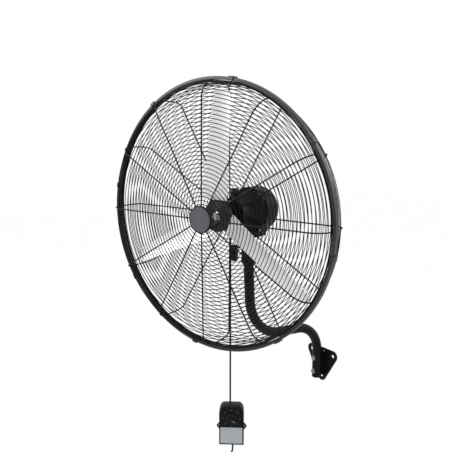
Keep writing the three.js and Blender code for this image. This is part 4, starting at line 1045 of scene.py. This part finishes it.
def guard_wires(line, first_ring, side):
    """Twelve spokes along the line, and rings inside them at equal steps along it."""
    patches = []
    for k in range(12):
        path = swung(line, math.radians(30 * k))
        patches.append(ended(on_head(along(path, circle(SPOKE, 8)))))
    step = np.gradient(line, axis=0)
    step /= np.linalg.norm(step, axis=1)[:, None]
    inside = line - (SPOKE + WIRE * 0.8) * side * np.stack([-step[:, 1], step[:, 0]], -1)
    distance = np.concatenate([[0], np.cumsum(np.linalg.norm(np.diff(line, axis=0), axis=1))])
    at = np.arange(first_ring - line[0, 0], distance[-1] - 0.008, RING_PITCH)
    for d in at:
        radius = np.interp(d, distance, inside[:, 0])
        depth = np.interp(d, distance, inside[:, 1])
        patches.append(wire_ring(radius, depth, WIRE, 96, 6))
    patches.append(wire_ring(EDGE_WIRE, side * EDGE_DEPTH, 0.0025, 128, 8))
    return patches


def wire_ring(radius, depth, wire, around, sides):
    """A closed ring of round wire about the head's axis."""
    ring, section = circle(1.0, around), circle(wire, sides)
    wide = radius + section[None, :, 0]
    return on_head(np.stack([
        ring[:, :1] * wide, np.broadcast_to(depth + section[None, :, 1], (around, sides)),
        ring[:, 1:] * wide], -1)), True, True, False


rear_line = guard_line(0.044, 0.08, 0.076, 0.374, 0.006, 0.016, 1)
skin("rear_guard_wires", guard_wires(rear_line, 0.056, 1), black_paint, "tilt_head",
     "black_paint", ["rear_guard"])
screw_ring = 0.038
screw_turns = [math.radians(30 + 120 * k) for k in range(3)]
shell_piece("rear_guard_plate", [
    flat_sheet(circle(0.05, 72), [circle(0.0333, 60)], 0.0025, 0.0005, 0.081, on_head),
], black_paint, "tilt_head", "black_paint")
front_line = guard_line(0.03, 0.057, 0.0525, 0.354, 0.017, 0.021, -1)
skin("front_guard_wires", guard_wires(front_line, 0.044, -1), black_paint, "tilt_head",
     "black_paint", ["front_guard"])
shell_piece("front_guard_plate", [
    flat_sheet(circle(0.036, 60), [circle(0.0023, 16)], 0.0025, 0.0005, -0.05825, on_head),
], black_paint, "tilt_head", "black_paint")
for k, turn in enumerate(screw_turns):
    fitted(f"guard_screw_{k + 1}", pan_head_screw(
        0.0807, (screw_ring * math.cos(turn), 0, -screw_ring * math.sin(turn)), on_head,
        0.0036, 0.0024), zinc, "tilt_head", "zinc")


# ---- Rim band ----
# A rolled steel hoop whose lips hold the edges of both guards. Eight bent clips pinch it, and
# all of it is painted a slightly lighter satin grey than the guards.
rim_grey = speckled("rim_grey", (0.01, 0.01, 0.012), (0.019, 0.019, 0.022),
                    0.34, 0.5, 520, 12, 0.0001, specular=0.3, coat=0.1)
RIM, HALF, WALL = 0.409, 0.009, 0.002
LIP = RIM - 0.01
hoop_half = [
    (RIM - 0.0014, 0.0), (RIM - 0.0012, 0.0035), (RIM - 0.0002, HALF - 0.0022),
    (RIM - 0.0008, HALF - 0.0006), (RIM - 0.0025, HALF), (LIP + 0.0005, HALF),
    (LIP, HALF - 0.0006), (LIP, HALF - WALL + 0.0004), (LIP + 0.0005, HALF - WALL),
    (RIM - WALL - 0.003, HALF - WALL), (RIM - WALL - 0.0012, HALF - WALL - 0.002),
]
hoop = np.roll(mirrored(hoop_half)[:-1], 4, 0)
skin("rim_hoop", [turned(hoop, 180, on_head, closed=True)], rim_grey, "tilt_head",
     "rim_paint", ["rim_band"])
strap_half = np.array([
    [0.003, HALF], [0.0026, HALF + 0.0018], [0.0008, HALF + 0.003], [-0.0075, HALF + 0.003],
    [-0.0075, HALF + 0.0008], [-0.0004, HALF + 0.0006], [0.0006, HALF - 0.0004],
])
strap = mirrored(strap_half) + [RIM, 0]
clip_patches = []
for k in range(8):
    turn = math.radians(10 + 45 * k)
    outward = np.array([math.sin(turn), 0, math.cos(turn)])
    sideways = np.array([math.cos(turn), 0, -math.sin(turn)])
    profile = strap[:, :1] * outward + strap[:, 1:] * np.array([0, 1, 0])
    widths = np.array([-0.008, 0.008])
    clip_patches.append(ended(on_head(profile[None] + widths[:, None, None] * sideways)))
    head_ring = circle(0.0032, 16)
    crown = []
    for height, share in ((0.0022, 1.0), (0.0034, 0.95), (0.004, 0.6), (0.0041, 0.02)):
        crown.append(outward * (RIM + height) + head_ring[:, :1] * share * sideways
                     + head_ring[:, 1:] * share * np.array([0, 1, 0]))
    clip_patches.append(ended(on_head(np.array(crown))))
skin("rim_clips", clip_patches, rim_grey, "tilt_head", "rim_paint")


# ---- Guard cap ----
# A moulded blue-grey disc set in a black rim hides the front guard's centre plate and the screw
# behind it.
cap_plastic = speckled("cap_plastic", (0.04, 0.043, 0.05), (0.066, 0.07, 0.078),
                       0.26, 0.36, 420, 9, 0.00008, specular=0.45)
CAP_BACK = -0.0595
skin("guard_cap_moulding", [turned([
    (0, -0.0668), (0.012, -0.0667), (0.024, -0.0663), (0.032, -0.0657), (0.0355, -0.0654),
    (0.0372, -0.0652), (0.0374, -0.064), (0.0374, -0.062), (0, -0.062)], 96, on_head)],
    cap_plastic, "tilt_head", "cap_plastic", ["guard_cap"])
skin("guard_cap_rim", [turned([
    (0.0375, -0.06), (0.0375, -0.0655), (0.0384, -0.0664), (0.0398, -0.0655),
    (0.0407, -0.0638), (0.041, -0.0615), (0.041, CAP_BACK), (0, CAP_BACK), (0, -0.06)],
    96, on_head)], moulded_black, "tilt_head", "cap_plastic")


# ---- Rotor ----
# A cast hub with three pitched lobes is held on the motor's shaft by a washer and nut. Three
# aluminium blades, untwisting towards their tips, are riveted on the lobes.
hub_grey = speckled("hub_grey", (0.015, 0.014, 0.0165), (0.024, 0.023, 0.027),
                    0.42, 0.6, 360, 16, 0.00025, specular=0.3)
PITCH = math.radians(18)
LOBE_DEPTH = 0.022


def on_blade(k):
    """Places points in the axes of blade k: x out along the blade, y across it, z towards the
    front of its lobe."""
    def place(points):
        x, y, z = np.moveaxis(np.asarray(points, float), -1, 0)
        y, z = (y * math.cos(PITCH) - z * math.sin(PITCH),
                y * math.sin(PITCH) + z * math.cos(PITCH))
        turn = math.radians(86 + 120 * k)
        return on_head(np.stack([x * math.cos(turn) - y * math.sin(turn), LOBE_DEPTH - z,
                                 x * math.sin(turn) + y * math.cos(turn)], -1))
    return place


LOBE = mirrored([(0.0, -0.022), (0.048, -0.028), (0.058, -0.0275), (0.074, -0.0235),
                 (0.084, -0.0195), (0.0895, -0.015), (0.092, -0.0085)])
RIVETS = [(0.062, -0.012), (0.062, 0.012), (0.083, 0.0)]
hub_profile = [(0.0083, 0.018), (0.015, 0.018)]
for groove in np.arange(0.0175, 0.044, 0.0065):
    hub_profile += [(groove, 0.0176), (groove + 0.002, 0.0158), (groove + 0.004, 0.0158)]
hub_profile += [
    (0.0455, 0.0172), (0.047, 0.019), (0.047, 0.0225), (0.0455, 0.025), (0.03, 0.029),
    (0.024, 0.032), (0.024, 0.036), (0.0255, 0.041), (0.028, 0.044), (0.028, 0.06),
    (0.027, 0.062), (0.0083, 0.062)]
hub_patches = [turned(hub_profile, 96, on_head, closed=True)]
bead_reach = np.linspace(0.02, 0.086, 12)
bead_half = np.interp(bead_reach, [0.02, 0.05, 0.086], [0.015, 0.0245, 0.0165])
for k in range(3):
    place = on_blade(k)
    hub_patches.append(stacked(LOBE, [(-0.003, 0.001), (-0.0022, 0), (0.0022, 0),
                                      (0.003, 0.001)], place, "z"))
    for side in (-1, 1):
        bead = np.stack([bead_reach, side * bead_half, np.full(12, -0.0045)], -1)
        hub_patches.append(ended(place(along(bead, rounded(0.003, 0.004, 0.001)))))
skin("hub_casting", hub_patches, hub_grey, "rotor", "hub_paint", ["hub_spider"])

mill = Finish("mill_aluminium", metallic=0.85, specular=0.5)
mill_noise = mill.group(speckle, Fine_Size=600, Broad_Size=8)
mill_streak = mill.group(streaks, Stretch=(900, 900, 14))
mill.blend(mill_noise.outputs["Broad"], (0.88, 0.89, 0.905), (0.95, 0.955, 0.96))
mill.drift(mill_streak.outputs["Streak"], 0.28, 0.48)
mill.bump(mill_streak.outputs["Streak"], 0.00002)


def blade_sheet(k):
    """A blade as two skins 1.6 mm apart: the chord narrows and the pitch falls from root to tip
    along the radius, with a circular-arc camber, and the tip's corners are rounded."""
    root, tip, tip_round, lobe_tip = 0.05, 0.372, 0.018, 0.092
    share = np.linspace(0, 1, 49)[:, None]
    v = np.linspace(0, 1, 19)[None, :]
    radius = root + (tip - root) * share
    end = np.clip((radius - (tip - tip_round)) / tip_round, 0, 1)
    trim = 0.5 * (1 - np.sqrt(1 - (0.96 * end) ** 2)) * 0.55
    chord = 0.082 + (0.048 - 0.082) * share
    lead = 0.32 + (0.42 - 0.32) * share
    free = np.clip((radius - lobe_tip) / (tip - lobe_tip), 0, 1)
    untwist = math.radians(12 - 18) * free
    within = trim + (1 - 2 * trim) * v
    run = (within - lead) * chord
    camber = -0.05 * chord * 4 * within * (1 - within) * np.minimum(1, 3 * free)
    layers = []
    for lift in (0.0033, 0.0049):
        up = lift + camber
        layers.append(np.stack(np.broadcast_arrays(
            radius, run * np.cos(untwist) - up * np.sin(untwist),
            run * np.sin(untwist) + up * np.cos(untwist)), -1))
    low, high = layers
    loop = np.concatenate([low, high[:, ::-1]], axis=1)
    return ended(on_blade(k)(loop))


for k in range(3):
    patches = [blade_sheet(k)]
    place = on_blade(k)
    for x, y in RIVETS:
        patches += pan_head_screw(0.0049, (x, y, 0), place, 0.005, 0.0018, "z", 1)
        patches += pan_head_screw(-0.0033, (x, y, 0), place, 0.005, 0.0016, "z", -1)
    skin(f"blade_{k + 1}_sheet", patches, mill.material, "rotor", "blade_aluminium",
         [f"blade_{k + 1}"])

# The washer and nut are zinc plated like the other screws. This lighter copy of the zinc is a painted highlight for
# the bright ring they show at the shaft's end.
painted_highlight_zinc = speckled("zinc_with_painted_highlight", (0.52, 0.52, 0.5), (0.62, 0.62, 0.6), 0.22, 0.36, 500, 90,
                  0.00004, metallic=1.0)
fitted("hub_washer", [turned([
    (0.0083, 0.0157), (0.013, 0.0157), (0.0135, 0.016), (0.0135, 0.0177), (0.0083, 0.0177)],
    40, on_head, closed=True)], painted_highlight_zinc, "rotor", "zinc")
fitted("hub_nut", [
    stacked(hexagon(0.012, 0.2, 5), [(0.0154, 0), (0.0083, 0), (0.0074, 0.0009)], on_head),
], painted_highlight_zinc, "rotor", "zinc")
steel = speckled("turned_steel", (0.42, 0.43, 0.45), (0.52, 0.53, 0.55), 0.25, 0.4, 800, 60,
                 0.00003, metallic=1.0)
fitted("motor_shaft", [turned([
    (0, 0.004), (0.0068, 0.004), (0.008, 0.0052), (0.008, 0.26), (0, 0.26)], 32,
    on_head)], steel, "rotor", "steel")


# ---- Control box ----
# Two black mouldings screwed together, hanging on the cord. The front carries the speed switch's
# knob with its ring of marks, and a light grey plate; two side lugs take a wall screw each.
WIDTH, HEIGHT, FLAT, SHOULDER = 0.086, 0.143, 0.049, 0.027
KNOB_Z, PANEL_Z = -0.043, -0.1085


def box_outline(bottom, steps=14):
    """Flat top, quarter-ellipse shoulders and square bottom corners, anticlockwise."""
    turn = np.linspace(0, math.pi / 2, steps)
    half, flat = WIDTH / 2, FLAT / 2
    right = np.stack([flat + (half - flat) * np.cos(turn),
                      -SHOULDER + SHOULDER * np.sin(turn)], -1)
    left = np.stack([-right[::-1, 0], right[::-1, 1]], -1)
    corner = 0.0025
    bottom_left = arc_points(corner, math.pi, 1.5 * math.pi, 5, corner - half, corner - bottom)
    bottom_right = np.stack([-bottom_left[::-1, 0], bottom_left[::-1, 1]], -1)
    return np.concatenate([right, left, bottom_left, bottom_right])


box_black = speckled("box_black", (0.0028, 0.0028, 0.0032), (0.005, 0.005, 0.0058),
                     0.3, 0.46, 800, 25, 0.0001, specular=0.1)
skin("box_cover", [
    stacked(box_outline(HEIGHT), [(0.0, 0), (-0.0205, 0), (-0.0215, 0.0004), (-0.022, 0.0014)],
            on_box),
    turned([(0.0185, -0.0216), (0.0275, -0.0216), (0.0285, -0.0222), (0.0275, -0.0226),
            (0.0185, -0.0226)], 72, on_box, (0, 0, KNOB_Z), closed=True),
], box_black, "pan_head", "black_plastic", ["box_front_cover"])
skin("box_back", [
    stacked(box_outline(HEIGHT + 0.01), [(0.0003, 0), (0.019, 0), (0.0212, 0.0008),
                                          (0.022, 0.0026)], on_box),
], box_black, "pan_head", "black_plastic", ["box_rear_shell"])
lug_shells = []
for side in (-1, 1):
    nose = arc_points(0.006, -0.3 * math.pi, 0.3 * math.pi, 13, 0.047, -0.083)
    lug = np.concatenate([[[0.0415, -0.099]], nose, [[0.0415, -0.067]]]) * [side, 1]
    if side < 0:
        lug = lug[::-1]
    lug_hole = circle(0.0019, 20) + [side * 0.0465, -0.083]
    lug_shells.append(flat_sheet(lug, [lug_hole], 0.004, 0.0005, 0.0003, on_box))
shell_piece("box_lugs", lug_shells, box_black, "pan_head", "black_plastic")

panel_grey = speckled("panel_grey", (0.3, 0.32, 0.34), (0.35, 0.37, 0.39), 0.3, 0.42,
                      500, 10, 0.00004, specular=0.4)
skin("box_plate", [
    brick((-0.0385, 0.0385), (-0.0238, -0.0223), (PANEL_Z - 0.0285, PANEL_Z + 0.0315), 0.0005,
          on_box, 0.0016),
    stacked(rounded(0.073, 0.0562, 0.001, (0, PANEL_Z + 0.0015)),
            [(-0.0234, 0), (-0.024, 0), (-0.0242, 0.0006)], on_box),
], panel_grey, "pan_head", "panel_grey", ["box_panel"])

mark_grey = speckled("mark_grey", (0.16, 0.17, 0.18), (0.24, 0.25, 0.26), 0.4, 0.55, 900, 60,
                     0.00002)


def on_dial(outline, turn):
    """An outline on the box's face, turned about the knob's axis."""
    c, s = math.cos(turn), math.sin(turn)
    return outline @ np.array([[c, s], [-s, c]]) + [0, KNOB_Z]


skin("dial_marks", [
    stacked(on_dial(rounded(0.0014, 0.004, 0.0005, (0, 0.0292)), math.radians(45 * k)),
            [(-0.0219, 0), (-0.0223, 0)], on_box) for k in range(8)
], mark_grey, "pan_head", "panel_grey")

FLUTES = 30
flute_angle = np.linspace(0, 2 * math.pi, 240, endpoint=False)
skirt = 0.0186 + 0.00035 * np.cos(FLUTES * flute_angle)
skirt_outline = np.stack([skirt * np.cos(flute_angle),
                          skirt * np.sin(flute_angle) + KNOB_Z], -1)
pointer_turn = math.radians(-122)
grip = on_dial(rounded(0.0085, 0.0345, 0.004), pointer_turn)
skin("speed_knob", [
    stacked(skirt_outline, [(-0.0223, 0), (-0.027, 0), (-0.029, 0.0007), (-0.0303, 0.0022)],
            on_box),
    stacked(grip, [(-0.03, 0), (-0.0365, 0.0002), (-0.0385, 0.001), (-0.0393, 0.0024)],
            on_box),
], moulded_black, "knob", "black_plastic", ["selector_knob"])
pointer_bar = on_dial(rounded(0.0016, 0.012, 0.0006, (0, 0.0095)), pointer_turn)
skin("knob_pointer", [stacked(pointer_bar, [(-0.039, 0), (-0.0394, 0)], on_box)],
     mark_grey, "knob", "panel_grey")

for part, direction, seat in (("top", 1, 0.0), ("bottom", -1, -HEIGHT)):
    centre_x = -0.0047 if direction > 0 else LOWER_X
    profile = [(0.0034, -0.0045), (0.006, -0.0045), (0.006, 0.0003), (0.0076, 0.0003),
               (0.0074, 0.001), (0.0055, 0.0016), (0.0048, 0.0035), (0.0034, 0.0035)]
    fitted(f"grommet_{part}", [turned(
        [(r, z * direction + seat) for r, z in profile], 32, on_box,
        (centre_x, BOX_CORD_Y, 0), "z", closed=True)], cord_rubber, "pan_head", "rubber")
for part, x in (("left", -0.033), ("right", 0.033)):
    fitted(f"box_screw_{part}", pan_head_screw(
        0.0223, (x, 0, -0.062), on_box, 0.0032, 0.0018, outward=1), zinc, "pan_head", "zinc")


# ---- Inside the motor and the box ----
# Pieces that only show through gaps keep their solids' shapes: the stator's steel, the varnished
# windings, the bearings and the switch.
copper_wire = Finish("copper_wire", metallic=0.6)
copper_streak = copper_wire.group(streaks, Stretch=(60, 1500, 60))
copper_wire.blend(copper_streak.outputs["Streak"], (0.2, 0.07, 0.03), (0.5, 0.22, 0.1))
copper_wire.drift(copper_streak.outputs["Streak"], 0.3, 0.5)
copper_wire.bump(copper_streak.outputs["Streak"], 0.0003)
for nodes, inside_finish in (
    (("winding_front", "winding_rear"), copper_wire.material),
    (("stator_core", "rotor_core", "bearing_front", "bearing_rear", "cap_screw"), steel),
    (("selector_switch",), moulded_black),
):
    for node in nodes:
        mesh = frame["nodes"][node].data
        mesh.materials.clear()
        mesh.materials.append(inside_finish)


# ---- Finish of the object ----
visual_box = [list(corner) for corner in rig.bounds()]
with open("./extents.json", "w") as sizes:
    json.dump({"cad": cad_box, "visual": visual_box}, sizes)
